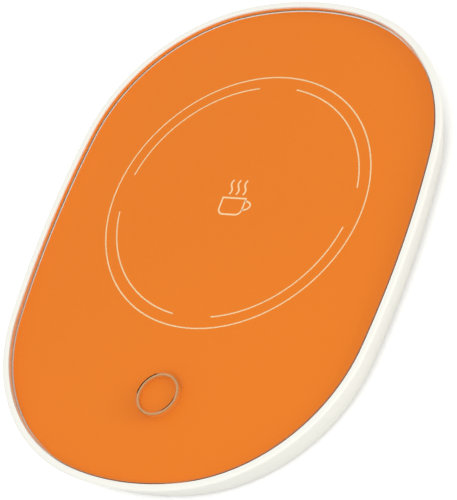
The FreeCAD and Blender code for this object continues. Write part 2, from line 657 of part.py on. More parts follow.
# Button: clear cap, print and moulded carrier, guided by the light ring, on a tact switch
def make_button():
    body = new_body("light_ring", "0", BUTTON_Y)
    bore = "(button_diameter / 2 + button_gap)"
    profile = new_sketch(body, "profile", "0", "XZ_Plane")
    add_polygon(profile, [
        (bore, RING_BACK), ("ring_flange_diameter / 2", RING_BACK), ("ring_flange_diameter / 2", RING_SEAT),
        (f"{bore} + ring_wall", RING_SEAT), (f"{bore} + ring_wall", RIM), (bore, RIM),
    ])
    revolve(body, profile)

    cap = plain_disc("button_cap", "button_diameter", CAP_BACK, "cap_thick", "0", BUTTON_Y)
    top = edges_where(cap.Tip, lambda e: at_height(e, number(RIM)))
    dress(cap, "Chamfer", "Size", "button_arris", cap.Tip, top)
    plain_disc("button_film", "button_diameter", CARRIER_TOP, "button_film_thick", "0", BUTTON_Y)

    carrier = new_body("button_carrier", "0", BUTTON_Y)
    side = "button_diameter / 2"
    flange = f"({side} + carrier_flange_reach)"
    low = f"({FLANGE_TOP} - carrier_flange_thick)"
    roof = f"({CARRIER_TOP} - carrier_top)"
    profile = new_sketch(carrier, "profile", "0", "XZ_Plane")
    add_polygon(profile, [
        ("0", PLUNGER_TOP), ("stem_diameter / 2", PLUNGER_TOP), ("stem_diameter / 2", roof),
        (f"({side} - carrier_wall)", roof), (f"({side} - carrier_wall)", low), (flange, low),
        (flange, FLANGE_TOP), (side, FLANGE_TOP), (side, CARRIER_TOP), ("0", CARRIER_TOP),
    ])
    revolve(carrier, profile)

    switch = new_body("switch_body", "0", BUTTON_Y)
    base = new_sketch(switch, "base", BOARD_TOP)
    add_rectangle(base, "0", "0", "switch_width", "switch_width")
    pad(switch, base, "switch_height")
    bore = new_sketch(switch, "bore", SWITCH_TOP)
    add_circles(bore, "plunger_diameter + 2 * plunger_gap", [("0", "0")])
    cut(switch, bore, "switch_bore_depth", downward=True)
    plain_disc("switch_plunger", "plunger_diameter", f"({SWITCH_TOP} - plunger_depth)",
               "plunger_depth + plunger_rise", "0", BUTTON_Y)


# Heater: aluminium spreader under the print, etched foil between two films, pad and pressed tray
def make_heater():
    plain_disc("heat_spreader", "spreader_diameter", SPREADER_BACK, "spreader_thick", "0", HEATER_Y)
    plain_disc("heater_film_front", "heater_diameter", TRACK_TOP, "heater_film_thick", "0", HEATER_Y)
    plain_disc("heater_film_back", "heater_diameter", HEATER_BACK, "heater_film_thick", "0", HEATER_Y)
    made_shape("heater_track", heater_track())

    insulation = plain_disc("insulation_pad", "spreader_diameter", PAD_BACK, "pad_thick", "0", HEATER_Y)
    windows = new_sketch(insulation, "windows", PAD_BACK)
    add_circles(windows, "tray_hole", [("0", "0")])
    window_length = "2 * cutoff_length + 6 * cutoff_width"
    add_rectangle(windows, "0", "(0 - spreader_diameter / 2)", "lead_notch", window_length)
    cut(insulation, windows, "pad_thick")

    tray = new_body("heater_tray", "0", HEATER_Y, DIAGONAL)
    profile = new_sketch(tray, "profile", "0", "XZ_Plane")
    hole, outer = "tray_hole / 2", TRAY_DIAMETER + " / 2"
    near = "(tray_bead_diameter / 2 - tray_bead_width / 2)"
    far = "(tray_bead_diameter / 2 + tray_bead_width / 2)"
    slope = "(2 * tray_sheet)"
    dip = f"({TRAY_BACK} - tray_bead_depth)"
    add_polygon(profile, [
        (hole, TRAY_BACK), (near, TRAY_BACK), (f"({near} + {slope})", dip), (f"({far} - {slope})", dip),
        (far, TRAY_BACK), (outer, TRAY_BACK), (outer, f"{TRAY_BACK} + tray_lip"),
        (f"({outer} - tray_sheet)", f"{TRAY_BACK} + tray_lip"), (f"({outer} - tray_sheet)", PAD_BACK),
        (far, PAD_BACK), (f"({far} - {slope})", f"({dip} + tray_sheet)"),
        (f"({near} + {slope})", f"({dip} + tray_sheet)"), (near, PAD_BACK), (hole, PAD_BACK),
    ])
    revolve(tray, profile)
    ears = new_sketch(tray, "ears", TRAY_BACK)
    ear_length = f"({TRAY_SCREW_RADIUS} + tray_ear_reach - {outer} + tray_sheet)"
    ear_middle = f"({outer} - tray_sheet + {ear_length} / 2)"
    for side in ("", "0 - "):
        add_rectangle(ears, f"({side}{ear_middle})", "0", ear_length, "tray_ear_width")
        add_rectangle(ears, "0", f"({side}{ear_middle})", "tray_ear_width", ear_length)
    pad(tray, ears, "tray_sheet")
    holes = new_sketch(tray, "ear_holes", TRAY_BACK)
    screw = TRAY_SCREW_RADIUS
    add_circles(holes, "board_hole", [(screw, "0"), ("-" + screw, "0"), ("0", screw), ("0", "-" + screw)])
    cut(tray, holes, "tray_sheet")
    notch = new_sketch(tray, "lead_notch", PAD_BACK)
    lead_side = f"(0 - {TRAY_DIAMETER} / 2)"
    left, right = "-lead_notch / 2", "lead_notch / 2"
    corners = []
    for x, y in ((left, "-4"), (right, "-4"), (right, "4"), (left, "4")):
        back = f"({lead_side} + {y} * tray_sheet)"
        corners.append((f"({x} * cos({DIAGONAL}) + {back} * sin({DIAGONAL}))",
                        f"({back} * cos({DIAGONAL}) - {x} * sin({DIAGONAL}))"))
    add_polygon(notch, corners)
    cut(tray, notch, "tray_lip")


def strip_along(path, width, thick):
    """A flat strip that follows a path of tangent arcs, lying below its plane."""
    edge = path.Edges[0]
    start = edge.valueAt(edge.FirstParameter)
    heading = edge.tangentAt(edge.FirstParameter)
    across = Vector(0, 0, 1).cross(heading).normalize() * (width / 2)
    down = Vector(0, 0, -thick)
    corners = [start + across, start - across, start - across + down, start + across + down]
    profile = Part.makePolygon(corners + corners[:1])
    return path.makePipeShell([profile], True, False)


def heater_track():
    """Two mirrored stacks of half rings, joined in turn at their ends and once across the middle."""
    centre_y = number(HEATER_Y)
    level = number(TRACK_TOP)
    outer = number("heater_diameter / 2 - track_margin")
    pitch = number("track_pitch")
    width = number("track_width")
    split = number("track_split")
    rings = int((outer - 2 * pitch) / pitch)
    rings -= 1 - rings % 2

    def point(radius, angle):
        return Vector(radius * math.cos(angle), centre_y + radius * math.sin(angle), level)

    def arc(radius, begin, finish):
        middle = point(radius, (begin + finish) / 2)
        return Part.Arc(point(radius, begin), middle, point(radius, finish)).toShape()

    def turn(radius, angle, swing):
        """A half circle from one ring to the next inner one, bulging towards swing."""
        middle_radius = radius - pitch / 2
        lift = angle + swing * (pitch / 2) / middle_radius
        crown = point(middle_radius, lift)
        return Part.Arc(point(radius, angle), crown, point(radius - pitch, angle)).toShape()

    left = []
    for k in range(rings):
        radius = outer - k * pitch
        gap = (split + pitch / 2) / radius
        low, high = 1.5 * math.pi - gap, 0.5 * math.pi + gap
        if k % 2:
            low, high = high, low
        left.append((radius, low, high))
    half = []
    for k, (radius, begin, finish) in enumerate(left):
        if k:
            begin = left[k - 1][2]
        if k == rings - 1:
            finish = 0.5 * math.pi
        half.append(arc(radius, begin, finish))
        if k < rings - 1:
            half.append(turn(radius, finish, -1 if finish < math.pi else 1))
    mirror = Vector(1, 0, 0)
    other = [edge.mirror(Vector(0, 0, 0), mirror) for edge in half]
    wire = Part.Wire(Part.__sortEdges__(half + other))
    return strip_along(wire, width, number("track_thick"))


# Boards and what is soldered to them
def make_boards():
    board = new_body("main_board")
    sketch = new_sketch(board, "outline", BOARD_BACK)
    add_board_outline(sketch)
    pad(board, sketch, "board_thick")
    holes = new_sketch(board, "holes", BOARD_BACK)
    add_circles(holes, "board_hole", BOARD_SCREWS)
    cut(board, holes, "board_thick")

    inlet = new_body("inlet_board")
    sketch = new_sketch(inlet, "outline", BOARD_BACK)
    far = "(glass_length / 2 - inlet_board_setback)"
    add_rectangle(sketch, "0", f"({far} - inlet_board_length / 2)", "inlet_board_width", "inlet_board_length")
    pad(inlet, sketch, "board_thick")
    gap = new_sketch(inlet, "shell_notch", BOARD_BACK)
    notch_length = f"({far} - {INLET_MOUTH} + inlet_depth + inlet_board_gap)"
    notch_width = "inlet_width + 2 * inlet_board_gap"
    add_rectangle(gap, "0", f"({far} - {notch_length} / 2)", notch_width, notch_length)
    cut(inlet, gap, "board_thick")
    holes = new_sketch(inlet, "holes", BOARD_BACK)
    add_circles(holes, "board_hole", INLET_SCREWS)
    cut(inlet, holes, "board_thick")

    shell = new_body("inlet_shell")
    outer = new_sketch(shell, "outer", "0 - " + INLET_MOUTH, "XZ_Plane")
    add_rounded_rectangle(outer, "0", BOARD_MIDDLE, "inlet_width", "inlet_height", "inlet_corner")
    pad(shell, outer, "inlet_depth")
    mouth = new_sketch(shell, "mouth", "0 - " + INLET_MOUTH, "XZ_Plane")
    add_rounded_rectangle(mouth, "0", BOARD_MIDDLE, "inlet_width - 2 * inlet_sheet",
                          "inlet_height - 2 * inlet_sheet", "(inlet_corner - inlet_sheet)")
    cut(shell, mouth, "inlet_depth - inlet_sheet")
    tongue = new_body("inlet_tongue")
    back = f"({INLET_MOUTH} - inlet_depth + inlet_sheet)"
    base = new_sketch(tongue, "base", "0 - " + back, "XZ_Plane")
    add_rounded_rectangle(base, "0", BOARD_MIDDLE, "inlet_width - 2 * inlet_sheet",
                          "inlet_height - 2 * inlet_sheet", "(inlet_corner - inlet_sheet)")
    pad(tongue, base, "tongue_base", downward=True)
    blade = new_sketch(tongue, "blade", f"0 - {back} - tongue_base", "XZ_Plane")
    add_rectangle(blade, "0", BOARD_MIDDLE, "tongue_width", "tongue_thick")
    pad(tongue, blade, "tongue_length", downward=True)

    lamps = new_body("status_leds", "0", BUTTON_Y, DIAGONAL)
    sketch = new_sketch(lamps, "lamps", BOARD_TOP)
    for side in ("led_circle / 2", "0 - led_circle / 2"):
        add_rectangle(sketch, f"({side})", "0", "led_width", "led_length")
        add_rectangle(sketch, "0", f"({side})", "led_length", "led_width")
    pad(lamps, sketch, "led_height")

    chip = [("chip_side", "chip_lift")]
    transistor = [("(0 - transistor_side)", "transistor_lift")]
    capacitors = [
        ("(0 - capacitor_side)", "(0 - capacitor_drop)"),
        ("(0 - capacitor_side)", "(0 - capacitor_drop - capacitor_step)"),
        ("edge_capacitor_side", "edge_capacitor_lift"),
    ]
    resistors = [
        (f"(resistor_side + {i} * resistor_step)", f"(0 - resistor_drop - {k} * resistor_row)")
        for i in range(3)
        for k in range(2)
    ]
    inlet_row = f"({far} - inlet_board_length + resistor_length - {BUTTON_Y})"
    inlet_pair = [(f"(inlet_resistor_side + {i} * inlet_resistor_step)", inlet_row) for i in range(2)]
    add_soldered("control_chip", "chip", chip)
    add_soldered("power_transistor", "transistor", transistor)
    add_soldered("board_capacitors", "capacitor", capacitors)
    add_soldered("board_resistors", "resistor", resistors)
    add_soldered("inlet_resistors", "resistor", inlet_pair)


def add_soldered(label, kind, places):
    """Blocks of one kind on the board, placed from the button centre."""
    body = new_body(label)
    sketch = new_sketch(body, "outline", BOARD_TOP)
    for x, y in places:
        add_rectangle(sketch, x, f"({BUTTON_Y} + {y})", f"{kind}_width", f"{kind}_length")
    pad(body, sketch, f"{kind}_height")


def add_board_outline(sketch):
    """Main board: straight inner edge and sides, with an end bowed like the body."""
    half, bow = "board_half_width", "(end_radius - board_end_gap)"
    centre_y = "(end_radius - glass_length / 2)"
    top = f"({BUTTON_Y} + board_top_edge)"
    low = f"({centre_y} - sqrt({bow} * {bow} - {half} * {half}))"
    x, y_top, y_low = number(half), number(top), number(low)
    radius, y_centre = number(bow), number(centre_y)
    lean = math.asin(x / radius)
    circle = Part.Circle(Vector(0, y_centre, 0), Vector(0, 0, 1), radius)
    arc = Part.ArcOfCircle(circle, 1.5 * math.pi - lean, 1.5 * math.pi + lean)
    sketch.addGeometry(Part.LineSegment(Vector(x, y_top, 0), Vector(-x, y_top, 0)))
    sketch.addGeometry(Part.LineSegment(Vector(-x, y_top, 0), Vector(-x, y_low, 0)))
    sketch.addGeometry(arc)
    sketch.addGeometry(Part.LineSegment(Vector(x, y_low, 0), Vector(x, y_top, 0)))
    for first, second in ((0, 1), (1, 2), (2, 3), (3, 0)):
        sketch.addConstraint(Sketcher.Constraint("Coincident", first, 2, second, 1))
    place_point(sketch, 0, 1, half, top)
    place_point(sketch, 1, 1, "-" + half, top)
    sketch.addConstraint(Sketcher.Constraint("Vertical", 1))
    sketch.addConstraint(Sketcher.Constraint("Vertical", 3))
    place_point(sketch, 2, 3, "0", centre_y)
    constrain(sketch, bow, "Radius", 2)


# Leads
def lead_shape(points, diameter, bend):
    """A round lead through points, with tangent arcs at its corners."""
    points = [Vector(*p) for p in points]
    edges = []
    start = points[0]
    for before, corner, after in zip(points, points[1:], points[2:]):
        into = (corner - before).normalize()
        out = (after - corner).normalize()
        turn = into.getAngle(out)
        trim = bend * math.tan(turn / 2)
        begin, finish = corner - into * trim, corner + out * trim
        inward = (out - into).normalize()
        middle = corner + inward * (bend / math.cos(turn / 2) - bend)
        edges.append(Part.LineSegment(start, begin).toShape())
        edges.append(Part.Arc(begin, middle, finish).toShape())
        start = finish
    edges.append(Part.LineSegment(start, points[-1]).toShape())
    return tube_along(Part.Wire(edges), diameter)


def tube_along(wire, diameter):
    edge = wire.Edges[0]
    start = edge.valueAt(edge.FirstParameter)
    heading = edge.tangentAt(edge.FirstParameter)
    section = Part.Wire(Part.Circle(start, heading, diameter / 2).toShape())
    return wire.makePipeShell([section], True, False)


def make_leads():
    heater_y, board_y = number(HEATER_Y), number(BUTTON_Y)
    lead = number("lead_diameter")
    level = number(LEAD_Z)
    cutoff_x = number("cutoff_width")
    inner = heater_y - number("heater_diameter") / 2 + number("cutoff_width")
    outer = board_y + number("board_top_edge") - 2 * lead
    middle = (inner + outer) / 2
    leads = []
    for side in (-1, 1):
        near, far = side * cutoff_x, side * 2.4 * cutoff_x
        route = [(near, inner, level), (near, middle + 4 * lead, level), (far, middle - 4 * lead, level),
                 (far, outer, level)]
        leads.append(lead_shape(route, lead, 3 * lead))
    made_shape("heater_leads", Part.makeCompound(leads))

    cutoff = new_body("thermal_cutoff")
    inner_y = f"({HEATER_Y} - heater_diameter / 2 + cutoff_width + cutoff_length / 2)"
    sketch = new_sketch(cutoff, "case", f"({HEATER_BACK} - cutoff_thick)")
    add_rectangle(sketch, "cutoff_width", inner_y, "cutoff_width", "cutoff_length")
    pad(cutoff, sketch, "cutoff_thick")

    bead = new_body("thermistor", "0", HEATER_Y)
    profile = new_sketch(bead, "profile", SENSOR_Z)
    add_capsule(profile)
    revolve(bead, profile)

    thin = number("sensor_lead_diameter")
    top = number(SENSOR_Z)
    low = number(BOARD_BACK) - thin / 2
    reach = number("sensor_length") / 2
    bend = 2 * thin
    pair = []
    near = heater_y - reach - 2 * thin
    far = board_y + number("board_top_edge") - 6 * thin
    for side in (-1, 1):
        x = side * thin
        route = [(x, heater_y - reach + thin, top), (x, near, top), (x, near, low), (x, far, low)]
        pair.append(lead_shape(route, thin, bend / 2))
    made_shape("thermistor_leads", Part.makeCompound(pair))

    supply_z = number(BOARD_TOP) + lead / 2
    for label, step in (("supply_wire_red", 0), ("supply_wire_black", 1)):
        radius = number("supply_ring_radius") + step * number("supply_pitch")
        centre = Vector(0, heater_y, supply_z)
        circle = Part.Circle(centre, Vector(0, 0, 1), radius)
        begin = math.radians(number("supply_begin"))
        finish = math.radians(number("supply_end"))
        made_shape(label, tube_along(Part.Wire(Part.ArcOfCircle(circle, begin, finish).toShape()), lead))


def add_capsule(sketch):
    """Half of a bead with round ends, on the right of the vertical axis."""
    radius, length = number("sensor_diameter") / 2, number("sensor_length")
    straight = length / 2 - radius
    quarter = math.pi / 2
    top = Part.Circle(Vector(0, straight, 0), Vector(0, 0, 1), radius)
    low = Part.Circle(Vector(0, -straight, 0), Vector(0, 0, 1), radius)
    sketch.addGeometry(Part.LineSegment(Vector(0, length / 2, 0), Vector(0, -length / 2, 0)))
    sketch.addGeometry(Part.ArcOfCircle(low, -quarter, 0))
    sketch.addGeometry(Part.LineSegment(Vector(radius, -straight, 0), Vector(radius, straight, 0)))
    sketch.addGeometry(Part.ArcOfCircle(top, 0, quarter))
    sketch.addConstraint(Sketcher.Constraint("Coincident", 0, 2, 1, 1))
    sketch.addConstraint(Sketcher.Constraint("Tangent", 1, 2, 2, 1))
    sketch.addConstraint(Sketcher.Constraint("Tangent", 2, 2, 3, 1))
    sketch.addConstraint(Sketcher.Constraint("Coincident", 3, 2, 0, 1))
    constrain(sketch, "sensor_diameter / 2", "Radius", 1)
    place_point(sketch, 1, 3, "0", "(sensor_diameter / 2 - sensor_length / 2)")
    place_point(sketch, 3, 3, "0", "(sensor_length / 2 - sensor_diameter / 2)")


# Screws: pan heads with a cross recess, each group one node
def make_screws(label, places, seat, length):
    """Screws that point up, with their heads under the seat height."""
    body = new_body(label)
    heads = new_sketch(body, "heads", seat)
    add_circles(heads, "screw_head", places)
    pad(body, heads, "screw_head_thick", downward=True)
    shanks = new_sketch(body, "shanks", seat)
    add_circles(shanks, "screw_diameter", places)
    pad(body, shanks, length)
    drive = new_sketch(body, "drive", f"({seat} - screw_head_thick)")
    slot = "(screw_drive / 4)"
    for x, y in places:
        add_cross(drive, x, y, "(screw_drive / 2)", slot)
    cut(body, drive, "screw_drive_depth")


def add_cross(sketch, x, y, reach, half):
    """The outline of a cross recess, twelve corners."""
    left, low = "-" + reach, "-" + half
    steps = [
        (reach, half), (half, half), (half, reach), (low, reach), (low, half), (left, half),
        (left, low), (low, low), (low, left), (half, left), (half, low), (reach, low),
    ]
    add_polygon(sketch, [(f"({x} + {dx})", f"({y} + {dy})") for dx, dy in steps])


make_housing()
make_bottom_cover()
for foot_label, (foot_x, foot_y) in FEET.items():
    make_foot(foot_label, foot_x, foot_y)
make_glass()
make_button()
make_heater()
make_boards()
make_leads()
make_screws("tray_screws", TRAY_SCREWS, TRAY_BACK, "tray_sheet + screw_bite")
make_screws("board_screws", BOARD_SCREWS, BOARD_BACK, "board_thick + screw_bite")
make_screws("inlet_screws", INLET_SCREWS, BOARD_BACK, "board_thick + screw_bite")
make_screws("cover_screws", COVER_SCREWS, f"({BASE} + screw_head_thick + head_gap)",
            f"({COVER_SEAT} - {BASE} - screw_head_thick - head_gap + cover_screw_bite)")

doc.recompute()
for item in doc.Objects:
    if {"Invalid", "Error"} & set(item.State):
        raise ValueError(f"{item.Name} failed: {item.State}")

os.makedirs("parts", exist_ok=True)
for node in nodes:
    shape = node.Shape
    if shape.isNull() or not shape.isValid() or not shape.Solids:
        raise ValueError(f"{node.Label} has no valid solid")
    shape.exportStep(f"parts/{node.Label}.step")
    print(node.Label, len(shape.Solids), round(shape.Volume, 3), shape.BoundBox)
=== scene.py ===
import bmesh
import bpy
import math
from mathutils import Matrix, Vector


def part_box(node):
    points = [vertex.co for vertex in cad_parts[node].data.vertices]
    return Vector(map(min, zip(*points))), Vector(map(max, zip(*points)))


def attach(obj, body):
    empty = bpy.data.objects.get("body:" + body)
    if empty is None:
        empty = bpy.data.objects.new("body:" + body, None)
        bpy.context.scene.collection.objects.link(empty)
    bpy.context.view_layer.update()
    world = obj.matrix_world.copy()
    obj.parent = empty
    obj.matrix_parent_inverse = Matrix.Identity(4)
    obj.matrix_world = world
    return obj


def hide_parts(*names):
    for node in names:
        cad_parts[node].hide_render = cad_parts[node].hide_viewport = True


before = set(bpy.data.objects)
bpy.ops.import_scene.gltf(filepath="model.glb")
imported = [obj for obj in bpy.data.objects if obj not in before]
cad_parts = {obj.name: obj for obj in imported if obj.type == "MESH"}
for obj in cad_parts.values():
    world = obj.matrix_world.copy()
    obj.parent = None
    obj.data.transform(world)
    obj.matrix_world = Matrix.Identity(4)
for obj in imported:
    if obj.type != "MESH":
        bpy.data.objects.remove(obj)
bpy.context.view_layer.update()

# Camera: a long lens above the right side of the warmer, turned on its axis so that the mug
# circle stands upright in the picture. Place and turn come from the printed circles.
MM = 0.001
glass_low, glass_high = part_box("glass_panel")
spreader_low, spreader_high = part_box("heat_spreader")
heater_y = (spreader_low.y + spreader_high.y) / 2
CAMERA_RIGHT, CAMERA_NEAR, CAMERA_ABOVE = 406.7 * MM, 312.1 * MM, 540.0 * MM
camera_place = Vector((CAMERA_RIGHT, heater_y - CAMERA_NEAR, glass_high.z + CAMERA_ABOVE))
aim_turn = Vector((2.52254129, 0.28621107, -0.72837495))


def linked(name, data):
    """A new object for a mesh, lamp or camera, placed in the scene."""
    made = bpy.data.objects.new(name, data)
    bpy.context.scene.collection.objects.link(made)
    return made


camera_data = bpy.data.cameras.new("camera")
camera_data.sensor_width = 36.0
camera_data.lens = 198.0
camera_data.clip_start = 0.05
camera = linked("camera", camera_data)
view_axes = Matrix.Rotation(aim_turn.length, 3, aim_turn.normalized())
camera_axes = Matrix((view_axes[0], -view_axes[1], -view_axes[2])).transposed()
camera.matrix_world = Matrix.Translation(camera_place) @ camera_axes.to_4x4()
bpy.context.scene.camera = camera


# Housing: one white moulding, a low oblong dish with a rolled rim and a side wall that draws in
# towards the table. Its outline is eight tangent arcs; every line on it is that outline offset.
# Here it is the shell that can be seen, with a ledge under the edge of the glass.
GLASS_WIDTH, GLASS_LENGTH = 112.6 * MM, 149.0 * MM
SIDE_RADIUS, CORNER_RADIUS, END_RADIUS = 300.0 * MM, 49.0 * MM, 76.4 * MM
RIM_REACH, BASE_INSET, WALL = 2.5 * MM, 1.2 * MM, 2.0 * MM
RIM_ROUND, LIP_ROUND, BASE_ROUND = 0.6 * MM, 0.2 * MM, 0.9 * MM
GLASS_GAP, LEDGE, DECK_THICK = 0.3 * MM, 9.0 * MM, 1.2 * MM
PLUG_WIDTH, PLUG_HEIGHT, PLUG_CORNER = 12.2 * MM, 5.4 * MM, 2.1 * MM
SLOT_GAP, SLOT_CORNER = 0.2 * MM, 1.5 * MM
SIDE_STEPS, CORNER_STEPS, END_STEPS = 26, 60, 16
BASE_STEPS, RIM_STEPS, LIP_STEPS, SLOT_STEPS = 8, 10, 4, 10
SHARP_ANGLE = 35
WHITE_PLASTIC = (0.90, 0.895, 0.83)
housing_low, housing_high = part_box("housing")
adhesive_low, adhesive_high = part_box("panel_adhesive")


def outline_samples():
    """Arc centre, radius and outward direction at even steps round the glass outline."""
    side_x = GLASS_WIDTH / 2 - SIDE_RADIUS
    end_y = GLASS_LENGTH / 2 - END_RADIUS
    apart = math.hypot(side_x, end_y)
    reach = SIDE_RADIUS - CORNER_RADIUS
    along = (apart**2 + reach**2 - (END_RADIUS - CORNER_RADIUS) ** 2) / (2 * apart)
    across = math.sqrt(reach**2 - along**2)
    ux, uy = -side_x / apart, end_y / apart
    corner_x = side_x + along * ux - across * uy
    corner_y = along * uy + across * ux
    side_turn = math.atan2(corner_y, corner_x - side_x)
    end_turn = math.atan2(corner_y - end_y, corner_x)
    quarter = [
        ((side_x, 0.0), SIDE_RADIUS, 0.0, side_turn, SIDE_STEPS),
        ((corner_x, corner_y), CORNER_RADIUS, side_turn, end_turn, CORNER_STEPS),
        ((0.0, end_y), END_RADIUS, end_turn, math.pi / 2, END_STEPS),
    ]
    first = []
    for (x, y), radius, begin, finish, steps in quarter:
        for i in range(steps):
            angle = begin + (finish - begin) * i / steps
            first.append((x, y, radius, math.cos(angle), math.sin(angle)))
    top = (0.0, end_y, END_RADIUS, 0.0, 1.0)
    second = [(-x, y, r, -u, v) for x, y, r, u, v in reversed(first[1:])]
    upper = first + [top] + second
    side = (-side_x, 0.0, SIDE_RADIUS, -1.0, 0.0)
    lower = [(-x, -y, r, -u, -v) for x, y, r, u, v in upper[1:]]
    return upper + [side] + lower


OUTLINE = outline_samples()


def outline_loop(mesh, offset, height):
    """One closed row of vertices along the outline at an offset."""
    return [
        mesh.verts.new((x + (r + offset) * u, y + (r + offset) * v, height))
        for x, y, r, u, v in OUTLINE
    ]


def bridge(mesh, low, high, slot=0):
    """A band of four-sided faces between two closed rows of vertices."""
    count = len(low)
    for i in range(count):
        j = (i + 1) % count
        mesh.faces.new((low[i], low[j], high[j], high[i])).material_index = slot


def arc_profile(centre, radius, begin, finish, steps):
    """Points of a rounding in the offset and height plane, angles in degrees."""
    points = []
    for i in range(steps + 1):
        angle = math.radians(begin + (finish - begin) * i / steps)
        points.append((centre[0] + radius * math.cos(angle), centre[1] + radius * math.sin(angle)))
    return points


def mesh_data(name, mesh):
    """A bmesh turned into plain mesh data."""
    data = bpy.data.meshes.new(name)
    mesh.to_mesh(data)
    mesh.free()
    return data


def smoothed(data, sharp=SHARP_ANGLE):
    """Smooth shading that keeps edges above an angle in degrees sharp."""
    data.polygons.foreach_set("use_smooth", [True] * len(data.polygons))
    data.set_sharp_from_angle(angle=math.radians(sharp))


def finished(name, mesh, body, materials, sharp=SHARP_ANGLE):
    """A bmesh turned into a smooth-shaded piece that rides on a body."""
    bmesh.ops.recalc_face_normals(mesh, faces=mesh.faces)
    data = mesh_data(name, mesh)
    smoothed(data, sharp)
    for material in materials:
        data.materials.append(material)
    piece = linked(name, data)
    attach(piece, body)
    return piece


def surface_group():
    """Shared effect: soft colour mottle, fine grain and a roughness that follows them."""
    group = bpy.data.node_groups.new("surface_grain", "ShaderNodeTree")
    for name, kind, start in (
        ("Colour", "NodeSocketColor", (0.8, 0.8, 0.8, 1)), ("Mottle", "NodeSocketFloat", 0.03),
        ("Mottle Scale", "NodeSocketFloat", 40.0), ("Grain Scale", "NodeSocketFloat", 3000.0),
        ("Roughness", "NodeSocketFloat", 0.4), ("Roughness Spread", "NodeSocketFloat", 0.06),
    ):
        socket = group.interface.new_socket(name=name, in_out="INPUT", socket_type=kind)
        socket.default_value = start
    for name, kind in (("Colour", "Color"), ("Roughness", "Float"), ("Height", "Float")):
        group.interface.new_socket(name=name, in_out="OUTPUT", socket_type="NodeSocket" + kind)
    nodes, links = group.nodes, group.links
    inputs, outputs = nodes.new("NodeGroupInput"), nodes.new("NodeGroupOutput")
    place = nodes.new("ShaderNodeTexCoord")
    mottle, grain = nodes.new("ShaderNodeTexNoise"), nodes.new("ShaderNodeTexNoise")
    mottle.inputs["Detail"].default_value = 4.0
    grain.inputs["Detail"].default_value = 2.0
    links.new(place.outputs["Object"], mottle.inputs["Vector"])
    links.new(place.outputs["Object"], grain.inputs["Vector"])
    links.new(inputs.outputs["Mottle Scale"], mottle.inputs["Scale"])
    links.new(inputs.outputs["Grain Scale"], grain.inputs["Scale"])
    centred = nodes.new("ShaderNodeMath")
    centred.operation = "SUBTRACT"
    centred.inputs[1].default_value = 0.5
    links.new(mottle.outputs["Fac"], centred.inputs[0])
    swing = nodes.new("ShaderNodeMath")
    swing.operation = "MULTIPLY_ADD"
    swing.inputs[2].default_value = 1.0
    links.new(centred.outputs[0], swing.inputs[0])
    links.new(inputs.outputs["Mottle"], swing.inputs[1])
    tint = nodes.new("ShaderNodeVectorMath")
    tint.operation = "SCALE"
    links.new(inputs.outputs["Colour"], tint.inputs[0])
    links.new(swing.outputs[0], tint.inputs["Scale"])
    links.new(tint.outputs[0], outputs.inputs["Colour"])
    rough = nodes.new("ShaderNodeMath")
    rough.operation = "MULTIPLY_ADD"
    links.new(centred.outputs[0], rough.inputs[0])
    links.new(inputs.outputs["Roughness Spread"], rough.inputs[1])
    links.new(inputs.outputs["Roughness"], rough.inputs[2])
    links.new(rough.outputs[0], outputs.inputs["Roughness"])
    links.new(grain.outputs["Fac"], outputs.inputs["Height"])
    return group


SURFACE = surface_group()


def finish_of(name, colour, roughness, mottle=0.05, mottle_scale=60.0, grain_scale=4000.0, bump=0.05,
              **plain):
    """A Principled material dressed by the shared grain; plain values go on its own sockets."""
    material = bpy.data.materials.new(name)
    material.use_nodes = True
    nodes, links = material.node_tree.nodes, material.node_tree.links
    shader = nodes["Principled BSDF"]
    grain = nodes.new("ShaderNodeGroup")
    grain.node_tree = SURFACE
    grain.inputs["Colour"].default_value = (*colour, 1)
    grain.inputs["Mottle"].default_value = mottle
    grain.inputs["Mottle Scale"].default_value = mottle_scale
    grain.inputs["Grain Scale"].default_value = grain_scale
    grain.inputs["Roughness"].default_value = roughness
    raised = nodes.new("ShaderNodeBump")
    raised.inputs["Strength"].default_value = bump
    raised.inputs["Distance"].default_value = 0.1 * MM
    links.new(grain.outputs["Colour"], shader.inputs["Base Color"])
    links.new(grain.outputs["Roughness"], shader.inputs["Roughness"])
    links.new(grain.outputs["Height"], raised.inputs["Height"])
    links.new(raised.outputs["Normal"], shader.inputs["Normal"])
    for socket, value in plain.items():
        shader.inputs[socket.replace("_", " ")].default_value = value
    return material


def housing_profile():
    """The closed section of the wall, rim and ledge, as offset and height pairs."""
    rim, base = housing_high.z, housing_low.z
    slope = math.atan2(RIM_REACH + BASE_INSET, rim - base)
    lean = math.degrees(slope)
    top_x = RIM_REACH - RIM_ROUND * (1 + math.sin(slope)) / math.cos(slope)
    low_x = -BASE_INSET - BASE_ROUND * (1 - math.sin(slope)) / math.cos(slope)
    points = arc_profile((low_x, base + BASE_ROUND), BASE_ROUND, -90, -lean, BASE_STEPS)
    points += arc_profile((top_x, rim - RIM_ROUND), RIM_ROUND, -lean, 90, RIM_STEPS)
    points += arc_profile((GLASS_GAP + LIP_ROUND, rim - LIP_ROUND), LIP_ROUND, 90, 180, LIP_STEPS)
    deck = adhesive_low.z
    deck_back = deck - DECK_THICK
    inner = RIM_REACH - WALL - (rim - deck_back) * math.tan(slope)
    points += [(GLASS_GAP, deck), (-LEDGE, deck), (-LEDGE, deck_back), (inner, deck_back)]
    points += [(-BASE_INSET - WALL, base)]
    return points


def carve(piece, cutter):
    """Cuts one shape out of a piece and keeps the result as plain mesh."""
    modifier = piece.modifiers.new("cut", "BOOLEAN")
    modifier.object = cutter
    modifier.solver = "EXACT"
    bpy.context.view_layer.update()
    result = bpy.data.meshes.new_from_object(piece.evaluated_get(bpy.context.evaluated_depsgraph_get()))
    piece.modifiers.clear()
    piece.data = result
    smoothed(result)
    bpy.data.objects.remove(cutter)


